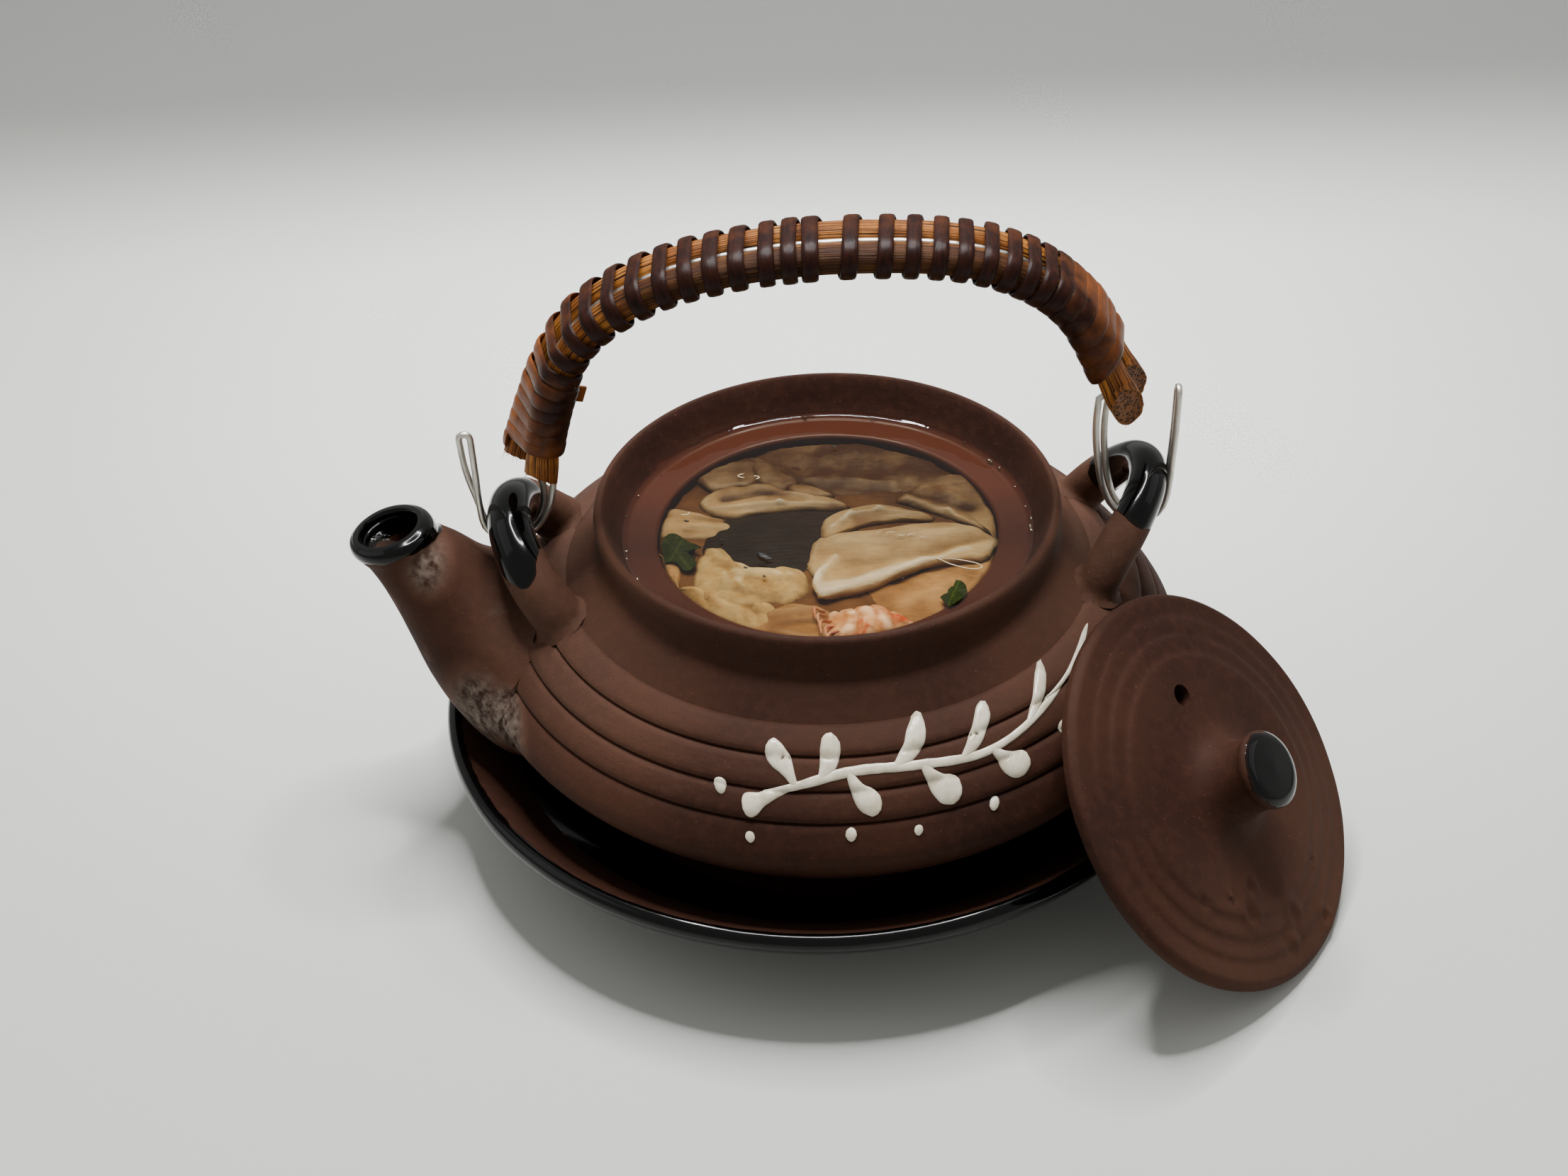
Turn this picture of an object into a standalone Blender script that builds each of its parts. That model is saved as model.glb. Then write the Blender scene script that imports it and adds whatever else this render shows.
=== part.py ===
"""Dobin mushi: clear soup served in a small unglazed teapot on its saucer, lid leaning beside it.

Metres in Blender, +Z up. The sizes below are millimetres and go through MM.
The origin is on the pot's axis, at the level of the surface that the saucer stands on.
The spout points to -X, and the bail handle swings about an axis along X.
"""
import math

import bmesh
import bpy
from mathutils import Matrix, Vector
from mathutils.noise import noise

MM = 0.001
GAP = 0.3                  # between two pieces that touch

# Pot
LEDGE_Z = 53.3             # the ledge inside the collar, where the lid sits
MOUTH_R = 29.0             # opening inside the ledge
COLLAR_INNER_R = 34.6
RIM_Z = 60.4
COLLAR_R = 39.6
FOOT_R = 30.0
FOOT_Z = 5.8
BELLY_R = 60.2
BELLY_Z = 31.1
BELLY_POWER = 1.28         # 2 would be a quarter of an ellipse, 1 a straight cone
CREASES = [(45.3, 48.1), (49.9, 44.9), (53.8, 40.9), (57.0, 36.8)]   # radius, height
CREASE_DEPTH = 0.55
BAND_BULGE = 0.35
POT_SIDES = 36

# Spout: height and reach of each ring, half sizes in the spout's plane and across it, tilt
SPOUT_RINGS = [
    (-74.5, 57.0, 6.4, 6.5, 14),
    (-74.3, 56.6, 7.2, 7.3, 14),
    (-73.7, 55.4, 7.3, 7.4, 17),
    (-72.0, 53.0, 6.9, 7.0, 22),
    (-69.0, 49.4, 7.9, 8.3, 30),
    (-64.9, 43.0, 9.9, 11.2, 38),
    (-59.3, 36.2, 13.2, 16.5, 46),
    (-51.2, 30.2, 15.8, 22.0, 52),
    (-40.0, 25.0, 15.5, 22.0, 60),
]
SPOUT_BORE = [
    (-75.0, 59.0, 4.9, 4.9, 14),
    (-73.3, 55.1, 4.9, 4.9, 17),
    (-68.6, 48.9, 5.4, 5.4, 32),
    (-62.0, 41.2, 6.2, 6.2, 42),
    (-50.0, 31.8, 7.0, 7.0, 52),
    (-43.5, 29.0, 7.2, 7.2, 60),
]
SPOUT_SIDES = 18

# Lugs: middle of the arch in Y, height of its middle line, reach at the top, half thicknesses
LUG_FOOT_Z = 44.6
LUG_FOOT_X = 44.0
LUG_HALF_SPAN = 15.0
LUG_LEFT = {"y": 1.5, "top_x": 53.8, "top_z": 58.4, "thick": 3.6, "foot": 4.3, "hug": 1.0}
LUG_RIGHT = {"y": 4.2, "top_x": 54.6, "top_z": 61.1, "thick": 3.3, "foot": 3.9, "hug": 1.5}

# Saucer and lid
SAUCER_R = 66.4
SAUCER_X = -1.5                  # the pot doesn't stand quite centred on it
SAUCER_RIM_Z = 20.4
SAUCER_FOOT_R = 35.5
WELL_Z = 5.5
LID_R = 34.0
LID_THICK = 3.3
LID_FLANGE_R = 27.4
LID_NORMAL = (0.672, -0.380, 0.636)
LID_CENTRE = (62.3, -40.5)       # x and y; its height comes from resting on the floor
KNOB_TOP = 12.5
KNOB_R = 6.9
VENT_R = 1.9
VENT_AT = (4.6, 15.6)            # on the lid, along its level and its upward direction

# Soup
BROTH_Z = 53.9
BROTH_GAP = 0.5                  # wider than GAP, as both are faceted with different numbers of sides
FLOAT = 0.5                      # how far each floating piece's highest point stands out of the soup

# Bail handle, which swings on its hooks about an axis along X
AXIS_Y = 2.5
AXIS_Z = 53.0
HANDLE_PATH = [(-50.2, 64.6), (-47.2, 77.0), (-41.9, 91.0), (-33.6, 99.1), (-20.8, 104.6), (-1.7, 107.5),
               (19.6, 106.8), (32.8, 102.8), (42.0, 94.9), (48.9, 81.0), (51.5, 76.2)]
CANE_R = 2.55
CANE_APART = 3.45                # half the distance between the two canes' middles
LEFT_TWIST = 35.0                # degrees that the pair of canes is turned at its left end
RIGHT_TWIST = 10.0
WIRE_R = 0.6
WIRE_APART = 0.95                # half the distance between the doubled wire's strands
WIRE_INWARD = 1.4                # how far inside the arch's middle line the wire enters the canes
WIRE_SINK = 20.0                 # length over which it reaches the middle line
BEND_WORTH = 40.0                # length that a bend of one radian counts for when stations are shared out
# x, y, z and how far the pair of strands is turned, 0 side by side in Y and 1 side by side along X
LEFT_HOOK = [(-60.3, 2.5, 73.0, 1.0), (-59.9, 2.5, 66.8, 0.7), (-59.1, 2.5, 60.4, 0.2), (-57.9, 2.5, 55.1, 0),
             (-54.0, 2.5, 52.8, 0), (-49.7, 2.5, 55.0, 0), (-47.5, 2.6, 59.2, 0.3), (-47.0, 3.0, 63.2, 0.8)]
RIGHT_HOOK = [(47.2, 2.6, 74.0, 1.0), (46.1, 2.5, 69.0, 0.9), (45.9, 2.5, 64.5, 0.6), (46.7, 2.5, 59.5, 0.3),
              (48.8, 2.5, 54.9, 0), (52.3, 2.5, 52.7, 0), (56.0, 2.5, 53.2, 0), (58.2, 2.5, 56.6, 0),
              (58.8, 2.5, 62.0, 0), (58.7, 2.5, 70.0, 0.4), (58.6, 2.5, 77.6, 0.6)]
STRIP_WIDTH = 3.0
STRIP_THICK = 0.5
STRIP_START = 3.2                # bare cane beyond the strip at the left end and at the right end
STRIP_STOP = 5.2
OPEN_PITCH = 4.9                 # of the strip's turns over the arch
TIGHT_PITCH = 3.35               # of the turns that bind each end
LEFT_BINDING = 24.0
RIGHT_BINDING = 27.0


def collection(name):
    made = bpy.data.collections.new(name)
    bpy.context.scene.collection.children.link(made)
    return made


def finish(name, colour, roughness, metallic=0.0):
    """A plain material: base colour, roughness and metallic."""
    material = bpy.data.materials.new(name)
    material.use_nodes = True
    shader = material.node_tree.nodes["Principled BSDF"]
    shader.inputs["Base Color"].default_value = (*colour, 1.0)
    shader.inputs["Roughness"].default_value = roughness
    shader.inputs["Metallic"].default_value = metallic
    return material


def add_object(name, mesh, group, material=None):
    obj = bpy.data.objects.new(name, mesh)
    group.objects.link(obj)
    if material:
        mesh.materials.append(material)
    if group is cutters:
        obj.hide_render = True
        obj.display_type = "WIRE"
    return obj


def mesh_from(name, bm, smooth=True):
    mesh = bpy.data.meshes.new(name)
    bm.to_mesh(mesh)
    bm.free()
    if smooth:
        mesh.shade_smooth()
        mesh.set_sharp_from_angle(angle=math.radians(40))
    return mesh


def turned(name, profile, sides, group, material=None):
    """A solid of revolution: the profile runs from the axis, down its outer side, back to the axis."""
    bm = bmesh.new()
    points = [bm.verts.new((r * MM, 0.0, z * MM)) for r, z in profile]
    for a, b in zip(points, points[1:]):
        bm.edges.new((a, b))
    obj = add_object(name, mesh_from(name, bm, smooth=False), group, material)
    screw = obj.modifiers.new("Turn", "SCREW")
    screw.steps = sides
    screw.render_steps = sides
    screw.use_merge_vertices = True
    screw.merge_threshold = 0.00001
    screw.use_smooth_shade = True
    return obj


def lofted(name, rings, sides, group, material=None):
    """A closed tube through tilted elliptical rings, (x, z, half size in plane, half size in Y, tilt)."""
    bm = bmesh.new()
    made = bmesh.ops.create_circle(bm, cap_ends=True, segments=sides, radius=1.0)
    loop = made["verts"]
    units = [vert.co.copy() for vert in loop]
    first_face = bm.faces[:][0]
    edges = list(first_face.edges)
    for step, (x, z, half_in, half_y, tilt) in enumerate(rings):
        if step:
            grown = bmesh.ops.extrude_edge_only(bm, edges=edges)["geom"]
            edges = [item for item in grown if isinstance(item, bmesh.types.BMEdge)
                     and all(vert in grown for vert in item.verts)]
            edges = [edge for edge in edges if len(edge.link_faces) == 1]
            fresh = {vert for edge in edges for vert in edge.verts}
            loop = [min(fresh, key=lambda vert, old=old: (vert.co - old.co).length) for old in loop]
        lean = math.radians(tilt)
        for vert, unit in zip(loop, units):
            vert.co = Vector((x + unit.x * half_in * math.cos(lean), unit.y * half_y,
                              z + unit.x * half_in * math.sin(lean))) * MM
    bmesh.ops.edgeloop_fill(bm, edges=edges)
    bmesh.ops.recalc_face_normals(bm, faces=bm.faces)
    return add_object(name, mesh_from(name, bm), group, material)


def tube(name, points, radii, group, material=None, resolution=2, closed=False):
    """A bent rod as a mesh: a bevelled curve, its caps welded on."""
    curve = bpy.data.curves.new(name + "_curve", "CURVE")
    curve.dimensions = "3D"
    curve.bevel_depth = MM
    curve.bevel_resolution = resolution
    curve.use_fill_caps = not closed
    spline = curve.splines.new("POLY")
    spline.points.add(len(points) - 1)
    spline.use_cyclic_u = closed
    for point, place, radius in zip(spline.points, points, radii):
        point.co = (*(Vector(place) * MM), 1.0)
        point.radius = radius
    rod = bpy.data.objects.new(name + "_rod", curve)
    bpy.context.scene.collection.objects.link(rod)
    seen = rod.evaluated_get(bpy.context.evaluated_depsgraph_get())
    mesh = bpy.data.meshes.new_from_object(seen)
    bm = bmesh.new()
    bm.from_mesh(mesh)
    bmesh.ops.remove_doubles(bm, verts=bm.verts, dist=0.00001)
    bmesh.ops.recalc_face_normals(bm, faces=bm.faces)
    bm.to_mesh(mesh)
    bm.free()
    mesh.shade_smooth()
    mesh.set_sharp_from_angle(angle=math.radians(50))
    mesh.materials.clear()
    obj = add_object(name, mesh, group, material)
    obj.matrix_world = rod.matrix_world
    bpy.data.objects.remove(rod)
    return obj


def boolean(obj, operation, other):
    step = obj.modifiers.new(operation.title(), "BOOLEAN")
    step.operation = operation
    if isinstance(other, bpy.types.Collection):
        step.operand_type = "COLLECTION"
        step.collection = other
    else:
        step.object = other


def swollen(obj, by):
    """A cutter: the piece's shape grown by a gap."""
    grown = obj.copy()
    grown.data = obj.data.copy()
    grown.name = obj.name + "_swollen"
    cutters.objects.link(grown)
    grown.hide_render = True
    grown.display_type = "WIRE"
    grow = grown.modifiers.new("Grow", "DISPLACE")
    grow.strength = by * MM
    grow.mid_level = 0.0
    return grown


def smooth_path(points, step):
    """Evenly spaced places on a Catmull-Rom curve through the points."""
    ends = [tuple(2 * a - b for a, b in zip(points[0], points[1]))]
    tail = [tuple(2 * a - b for a, b in zip(points[-1], points[-2]))]
    knots = [Vector(p) for p in ends + list(points) + tail]
    fine = []
    for p0, p1, p2, p3 in zip(knots, knots[1:], knots[2:], knots[3:]):
        for part in range(24):
            t = part / 24
            fine.append(0.5 * (2 * p1 + (p2 - p0) * t + (2 * p0 - 5 * p1 + 4 * p2 - p3) * t * t
                               + (3 * p1 - p0 - 3 * p2 + p3) * t ** 3))
    fine.append(knots[-2])
    lengths = [0.0]
    for a, b in zip(fine, fine[1:]):
        lengths.append(lengths[-1] + (b - a).length)
    count = max(2, round(lengths[-1] / step))
    places = []
    for number in range(count + 1):
        goal = lengths[-1] * number / count
        at = next(i for i in range(1, len(fine)) if lengths[i] >= goal - 1e-9)
        part = (goal - lengths[at - 1]) / (lengths[at] - lengths[at - 1])
        places.append(fine[at - 1].lerp(fine[at], part))
    return places, lengths[-1]


# Saucer

def make_saucer():
    profile = [
        (0, WELL_Z), (38, WELL_Z), (44, WELL_Z + 1.5), (52, WELL_Z + 6.2), (59, WELL_Z + 11.4),
        (63.6, SAUCER_RIM_Z - 0.8), (64.6, SAUCER_RIM_Z), (SAUCER_R - 0.4, SAUCER_RIM_Z - 0.6),
        (SAUCER_R, SAUCER_RIM_Z - 2.2), (64.9, SAUCER_RIM_Z - 4.6), (58.4, 10.6), (48, 4.6), (40, 2.2),
        (SAUCER_FOOT_R + 1.4, 1.8), (SAUCER_FOOT_R + 0.6, 0.5), (SAUCER_FOOT_R, 0), (0, 0),
    ]
    saucer = turned("saucer", profile, 30, parts, brown_clay)
    saucer.location.x = SAUCER_X * MM
    return saucer


# Pot

def belly_radius(part):
    """Radius of the lower belly, part running from 0 at the widest place to 1 at the foot."""
    return FOOT_R + (BELLY_R - FOOT_R) * (1 - part ** BELLY_POWER) ** (1 / BELLY_POWER)


def terraces():
    """The stepped bands of the shoulder: a crease, then a slightly swollen band."""
    points = []
    stops = CREASES + [(BELLY_R, BELLY_Z)]
    for (r0, z0), (r1, z1) in zip(stops, stops[1:]):
        run = Vector((r1 - r0, z1 - z0))
        out = Vector((-run.y, run.x)).normalized()
        points.append((r0 - out.x * CREASE_DEPTH, z0 - out.y * CREASE_DEPTH))
        for share, lift in ((0.2, 0.8), (0.8, 0.8)):
            points.append((r0 + run.x * share + out.x * BAND_BULGE * lift,
                           z0 + run.y * share + out.y * BAND_BULGE * lift))
    return points


def pot_outside():
    profile = [(0, RIM_Z), (38.4, RIM_Z), (39.3, RIM_Z - 0.4), (COLLAR_R, RIM_Z - 1.5), (39.5, RIM_Z - 2.9),
               (39.1, RIM_Z - 5.0), (39.4, LEDGE_Z - 0.2), (40.6, LEDGE_Z - 1.6), (43.2, LEDGE_Z - 3.2)]
    profile += terraces()
    profile.append((BELLY_R, BELLY_Z))
    profile += [(belly_radius(part), BELLY_Z + (FOOT_Z + 1.2 - BELLY_Z) * part)
                for part in (0.09, 0.22, 0.38, 0.55, 0.72, 0.87, 0.97)]
    profile += [(FOOT_R, FOOT_Z + 1.0), (FOOT_R - 0.4, FOOT_Z), (0, FOOT_Z)]
    return profile


def pot_inside(inset=0.0):
    """The hollow, from above the rim down to the bottom; inset shrinks it into the soup's shape."""
    return [
        (MOUTH_R - inset, LEDGE_Z - 0.4), (MOUTH_R - inset, LEDGE_Z - 3.0),
        (31.5 - inset, LEDGE_Z - 4.4 - inset), (41.0 - inset, 44.2 - inset),
        (49.4 - inset, 37.0 - inset), (54.6 - inset, 32.8 - inset),
        (56.4 - inset, 29.4), (51.5 - inset, 24.5 + inset * 0.5), (44.6 - inset, 18.8 + inset),
        (35.5 - inset, 13.2 + inset), (25.0, FOOT_Z + 4.2 + inset), (0, FOOT_Z + 4.2 + inset),
    ]


def collar_inside():
    return [(0, RIM_Z + 1.5), (39.2, RIM_Z + 1.5), (38.0, RIM_Z - 0.3), (37.2, RIM_Z - 1.7),
            (35.6, LEDGE_Z + 1.9), (COLLAR_INNER_R, LEDGE_Z + 0.4), (34.0, LEDGE_Z), (MOUTH_R + 0.4, LEDGE_Z)]


def make_lug(side, lug, name):
    """A ring-shaped ear whose two feet stand on the shoulder, one behind the other."""
    points = []
    radii = []
    steps = 11
    for number in range(steps + 1):
        turn = math.pi * number / steps
        rise = math.sin(turn) ** (1.5 if turn < math.pi / 2 else 1.0)
        points.append((side * (LUG_FOOT_X + (lug["top_x"] - LUG_FOOT_X) * math.sin(turn) ** lug["hug"]),
                       lug["y"] + LUG_HALF_SPAN * math.cos(turn),
                       LUG_FOOT_Z + (lug["top_z"] - LUG_FOOT_Z) * rise))
        radii.append(lug["thick"] + (lug["foot"] - lug["thick"]) * (1 - rise) ** 0.8)
    return tube(name, points, radii, joined, resolution=3)


def make_pot():
    pot = turned("pot", pot_outside(), POT_SIDES, parts, brown_clay)
    lofted("spout_outside", SPOUT_RINGS, SPOUT_SIDES, joined)
    make_lug(-1, LUG_LEFT, "lug_left")
    make_lug(1, LUG_RIGHT, "lug_right")
    hollow = turned("pot_hollow", collar_inside() + pot_inside(), POT_SIDES, cutters)
    bore = lofted("spout_bore", SPOUT_BORE, 12, cutters)
    boolean(pot, "UNION", joined)
    boolean(pot, "DIFFERENCE", hollow)
    boolean(pot, "DIFFERENCE", bore)
    return pot


# Lid

def lid_profile():
    """From the knob's crown out to the edge and back under, in the lid's own frame."""
    return [
        (0, KNOB_TOP + 0.3), (KNOB_R - 1.2, KNOB_TOP), (KNOB_R, KNOB_TOP - 1.2),
        (KNOB_R - 0.8, KNOB_TOP - 3.0), (6.3, 6.2), (7.4, 3.8), (9.6, 2.4), (13.0, 1.9), (22.4, 1.6),
        (23.0, 1.05), (25.7, 0.9), (26.3, 0.35), (29.0, 0.3), (29.6, -0.1), (LID_R - 1.0, -0.2),
        (LID_R, -1.2), (LID_R - 0.5, -LID_THICK + 0.3), (LID_R - 1.2, -LID_THICK),
        (LID_FLANGE_R + 0.2, -LID_THICK), (LID_FLANGE_R - 0.3, -7.0),
        (LID_FLANGE_R - 3.0, -7.0), (LID_FLANGE_R - 3.6, -2.4), (0, -1.9),
    ]


def lid_frame():
    """Turns the lid's own axes so that it leans on the pot, its lowest edge on the floor."""
    normal = Vector(LID_NORMAL).normalized()
    level = Vector((0, 0, 1)).cross(normal).normalized()
    upward = normal.cross(level)
    turn = Matrix((level, upward, normal)).transposed()
    lowest = min((turn @ Vector((0, -r, z))).z for r, z in lid_profile())
    return Matrix.LocRotScale(Vector((*LID_CENTRE, -lowest)) * MM, turn.to_quaternion(), None)


def make_lid():
    lid = turned("lid", lid_profile(), 26, parts, brown_clay)
    place = lid_frame()
    lid.matrix_world = place
    bm = bmesh.new()
    bmesh.ops.create_cone(bm, cap_ends=True, segments=10, radius1=VENT_R * MM, radius2=VENT_R * MM,
                          depth=20 * MM)
    vent = add_object("vent_hole", mesh_from("vent_hole", bm), cutters)
    vent.matrix_world = place @ Matrix.Translation(Vector((*VENT_AT, 0)) * MM)
    boolean(lid, "DIFFERENCE", vent)
    return lid


# What swims in the soup

def slab(name, flesh, middle, size, turn, tilt, roll, bend, taper, seed, cuts=4):
    """A slice of food: a rounded, tapered, bent slab with an uneven outline."""
    length, width, thick = size
    bm = bmesh.new()
    bmesh.ops.create_cube(bm, size=2.0)
    bmesh.ops.subdivide_edges(bm, edges=bm.edges, cuts=cuts - 1, use_grid_fill=True)
    for vert in bm.verts:
        x, y, z = vert.co
        flat = max(abs(x), abs(y))
        outline = math.hypot(x, y)
        if outline > 1e-6:
            x, y = x * flat / outline, y * flat / outline
        z *= (1 - 0.75 * flat ** 4) ** 0.5
        wave = 1 + 0.10 * noise(Vector((x * 1.3, y * 1.3, seed)))
        x *= wave
        y *= wave * (1 - taper * x)
        z += 0.5 * noise(Vector((x * 1.1, y * 1.1, seed + 7.0))) - bend * x * x
        vert.co = Vector((x * length / 2, y * width / 2, z * thick / 2)) * MM
    bmesh.ops.triangulate(bm, faces=bm.faces)
    obj = add_object(name, mesh_from(name, bm), parts, flesh)
    turned_by = Matrix.Rotation(math.radians(turn), 4, "Z") @ Matrix.Rotation(math.radians(tilt), 4, "Y")
    rolled = Matrix.Rotation(math.radians(roll), 4, "X")
    obj.matrix_world = Matrix.Translation(Vector((*middle, 50.0)) * MM) @ turned_by @ rolled
    return obj


def make_leaf(name, middle, size, turn, tilt):
    """A small three-lobed leaf: thin, wavy, both faces in the same triangles."""
    bm = bmesh.new()
    made = bmesh.ops.create_circle(bm, cap_ends=True, cap_tris=True, segments=24, radius=1.0)
    for vert in made["verts"]:
        around = math.atan2(vert.co.y, vert.co.x)
        reach = (0.72 + 0.28 * math.cos(3 * around)) * (1 + 0.06 * math.cos(12 * around))
        far = vert.co.to_2d().length
        vert.co = Vector((math.cos(around) * reach * size * far, math.sin(around) * reach * size * far,
                          0.2 * math.sin(2 * around) * far)) * MM
    bmesh.ops.recalc_face_normals(bm, faces=bm.faces)
    leaf = add_object(name, mesh_from(name, bm), parts, green)
    leaf.matrix_world = (Matrix.Translation(Vector(middle) * MM) @ Matrix.Rotation(math.radians(turn), 4, "Z")
                         @ Matrix.Rotation(math.radians(tilt), 4, "Y"))
    thick = leaf.modifiers.new("Thickness", "SOLIDIFY")
    thick.thickness = 0.5 * MM
    thick.offset = 0.0
    return leaf


def float_up(obj):
    """Raises or lowers a piece until its highest point stands just out of the soup."""
    bpy.context.view_layer.update()
    highest = max((obj.matrix_world @ vert.co).z for vert in obj.data.vertices)
    obj.matrix_world = Matrix.Translation((0, 0, (BROTH_Z + FLOAT) * MM - highest)) @ obj.matrix_world
    return obj


def make_food():
    """Pieces whose tops reach the surface, side by side inside the mouth."""
    return [
        slab("mushroom_slice_1", mushroom, (11.5, -6.2), (30, 15.5, 5.0), 19, 3, -7, 0.4, 0.10, 1.0),
        slab("mushroom_slice_2", mushroom, (20.8, 8.4), (15, 9.5, 4.6), -50, 4, 3, 0.3, 0.12, 3.0, 3),
        slab("mushroom_slice_3", mushroom, (3.5, 18.4), (24, 10, 5.0), -9, 2, 4, 0.4, 0.10, 4.0),
        slab("mushroom_slice_4", mushroom, (-12.2, 8.8), (20, 9.5, 5.0), 10, 3, 4, 0.3, 0.12, 5.0, 3),
        slab("mushroom_slice_5", mushroom, (-22.2, -0.6), (8.6, 7.6, 4.6), -10, -4, 2, 0.2, 0.05, 6.0, 3),
        slab("fish_piece", white_fish, (-12.6, -11.8), (20, 13.5, 7.0), -16, 2, -3, 0.4, 0.10, 7.0),
    ]


def make_shrimp():
    """A curled tail: rings of shell shrinking along a bent rod."""
    points = []
    radii = []
    for number in range(9):
        share = number / 8
        turn = math.radians(200 + 150 * share)
        points.append((5.2 + 8.6 * math.cos(turn), -19.3 + 4.6 * math.sin(turn), 50.0 + 0.5 * share))
        radii.append(3.4 * (1 - 0.5 * share) * (1.0 + 0.08 * (number % 2)))
    radii[0] = 2.2
    return tube("shrimp", points, radii, parts, shell_pink, resolution=2)


def make_broth(pieces):
    profile = [(0, BROTH_Z), (MOUTH_R - BROTH_GAP, BROTH_Z)] + pot_inside(inset=BROTH_GAP)[1:]
    broth = turned("broth", profile, 28, parts, clear_broth)
    rings = [(x, z, half_in - GAP, half_y - GAP, tilt) for x, z, half_in, half_y, tilt in SPOUT_BORE]
    lofted("broth_in_spout", rings, 12, poured)
    boolean(broth, "UNION", poured)
    bm = bmesh.new()
    bmesh.ops.create_cube(bm, size=0.2)
    above = add_object("above_broth", mesh_from("above_broth", bm, smooth=False), cutters)
    above.location.z = BROTH_Z * MM + 0.1
    boolean(broth, "DIFFERENCE", above)
    for piece in pieces:
        boolean(broth, "DIFFERENCE", swollen(piece, GAP))
    return broth


# Bail handle

def handle_spine(step):
    return smooth_path(HANDLE_PATH, step)


def spine_frame(places, number):
    """Direction along the handle and outward from the arch, both in the XZ plane."""
    before = places[max(number - 1, 0)]
    after = places[min(number + 1, len(places) - 1)]
    along = (after - before).normalized()
    outward = Vector((-along.y, along.x))
    return along, outward


def twist_at(share):
    """The pair of canes is turned at its ends and flat over the arch."""
    left = LEFT_TWIST * max(0.0, 1 - share / 0.30) ** 1.5
    right = RIGHT_TWIST * max(0.0, (share - 0.70) / 0.30)
    return math.radians(left + right)


def section(places, length, at):
    """The canes' cross-section there: its middle, and its unit vectors across the pair, outward and along."""
    step = length / (len(places) - 1)
    number = min(int(at / step), len(places) - 2)
    along, outward = spine_frame(places, number)
    twist = twist_at(at / length)
    middle = places[number].lerp(places[number + 1], at / step - number)
    out = Vector((outward.x, 0, outward.y))
    side = Vector((0, 1, 0))
    return (Vector((middle.x, AXIS_Y, middle.y)), side * math.cos(twist) + out * math.sin(twist),
            out * math.cos(twist) - side * math.sin(twist), Vector((along.x, 0, along.y)))


def closer_at_bends(places, length, count):
    """Lengths along the handle, closer together where it bends."""
    step = length / (len(places) - 1)
    worth = [0.0]
    for a, b, c in zip(places, places[1:], places[2:]):
        worth.append(worth[-1] + step + BEND_WORTH * (b - a).angle(c - b))
    stops = [0.0]
    for number in range(1, count):
        goal = worth[-1] * number / count
        at = next(i for i, value in enumerate(worth) if value >= goal)
        stops.append(at * step)
    return stops + [length]


def make_canes():
    canes = []
    places, length = handle_spine(1.0)
    for name, side in (("cane_front", -1), ("cane_back", 1)):
        points = []
        for at in closer_at_bends(places, length, 20):
            middle, across, _, _ = section(places, length, at)
            points.append(middle + across * CANE_APART * side)
        canes.append(tube(name, points, [CANE_R] * len(points), parts, cane_tan, resolution=2))
    return canes


def strip_stations():
    """One turn of the strip round the two canes: (across, outward) places, each with its outward way."""
    reach = CANE_R + GAP + 0.15 + STRIP_THICK / 2
    stations = []
    for side in (1, -1):
        for step in range(5):
            angle = math.radians(90 * side - 45 * step)
            way = Vector((math.cos(angle), math.sin(angle)))
            stations.append((Vector((side * CANE_APART, 0)) + way * reach, way))
    return stations


def make_wrap():
    """One flat strip wound round both canes: tight at the ends, open over the arch."""
    places, length = handle_spine(1.0)
    stations = strip_stations()
    around = sum((a[0] - b[0]).length for a, b in zip(stations, stations[1:] + stations[:1]))
    bm = bmesh.new()
    at = STRIP_START
    count = 0
    last = None
    while at < length - STRIP_STOP:
        place, way = stations[count % len(stations)]
        middle, across, outward, along = section(places, length, at)
        centre = middle + across * place.x + outward * place.y
        off = across * way.x + outward * way.y
        ring = [bm.verts.new((centre + along * (STRIP_WIDTH / 2) * a + off * (STRIP_THICK / 2) * b) * MM)
                for a, b in ((-1, -1), (1, -1), (1, 1), (-1, 1))]
        edges = [bm.edges.new((ring[i], ring[(i + 1) % 4])) for i in range(4)]
        if last:
            bmesh.ops.bridge_loops(bm, edges=last + edges)
        else:
            bmesh.ops.edgeloop_fill(bm, edges=edges)
        last = edges
        tight = at < LEFT_BINDING or at > length - RIGHT_BINDING
        count += 1
        step = (stations[count % len(stations)][0] - place).length
        at += (TIGHT_PITCH if tight else OPEN_PITCH) * step / around
    bmesh.ops.edgeloop_fill(bm, edges=last)
    bmesh.ops.recalc_face_normals(bm, faces=bm.faces)
    return add_object("rattan_strip", mesh_from("rattan_strip", bm), parts, strip_brown)


def hook_stations(hook, side):
    """Middle and spread of the wire's two strands along a hook."""
    stations = []
    for place in smooth_path(hook, 3.8)[0]:
        turn = math.radians(90) * max(0.0, min(1.0, place.w))
        stations.append((place.to_3d(), Vector((side * math.sin(turn), math.cos(turn), 0))))
    return stations


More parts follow.
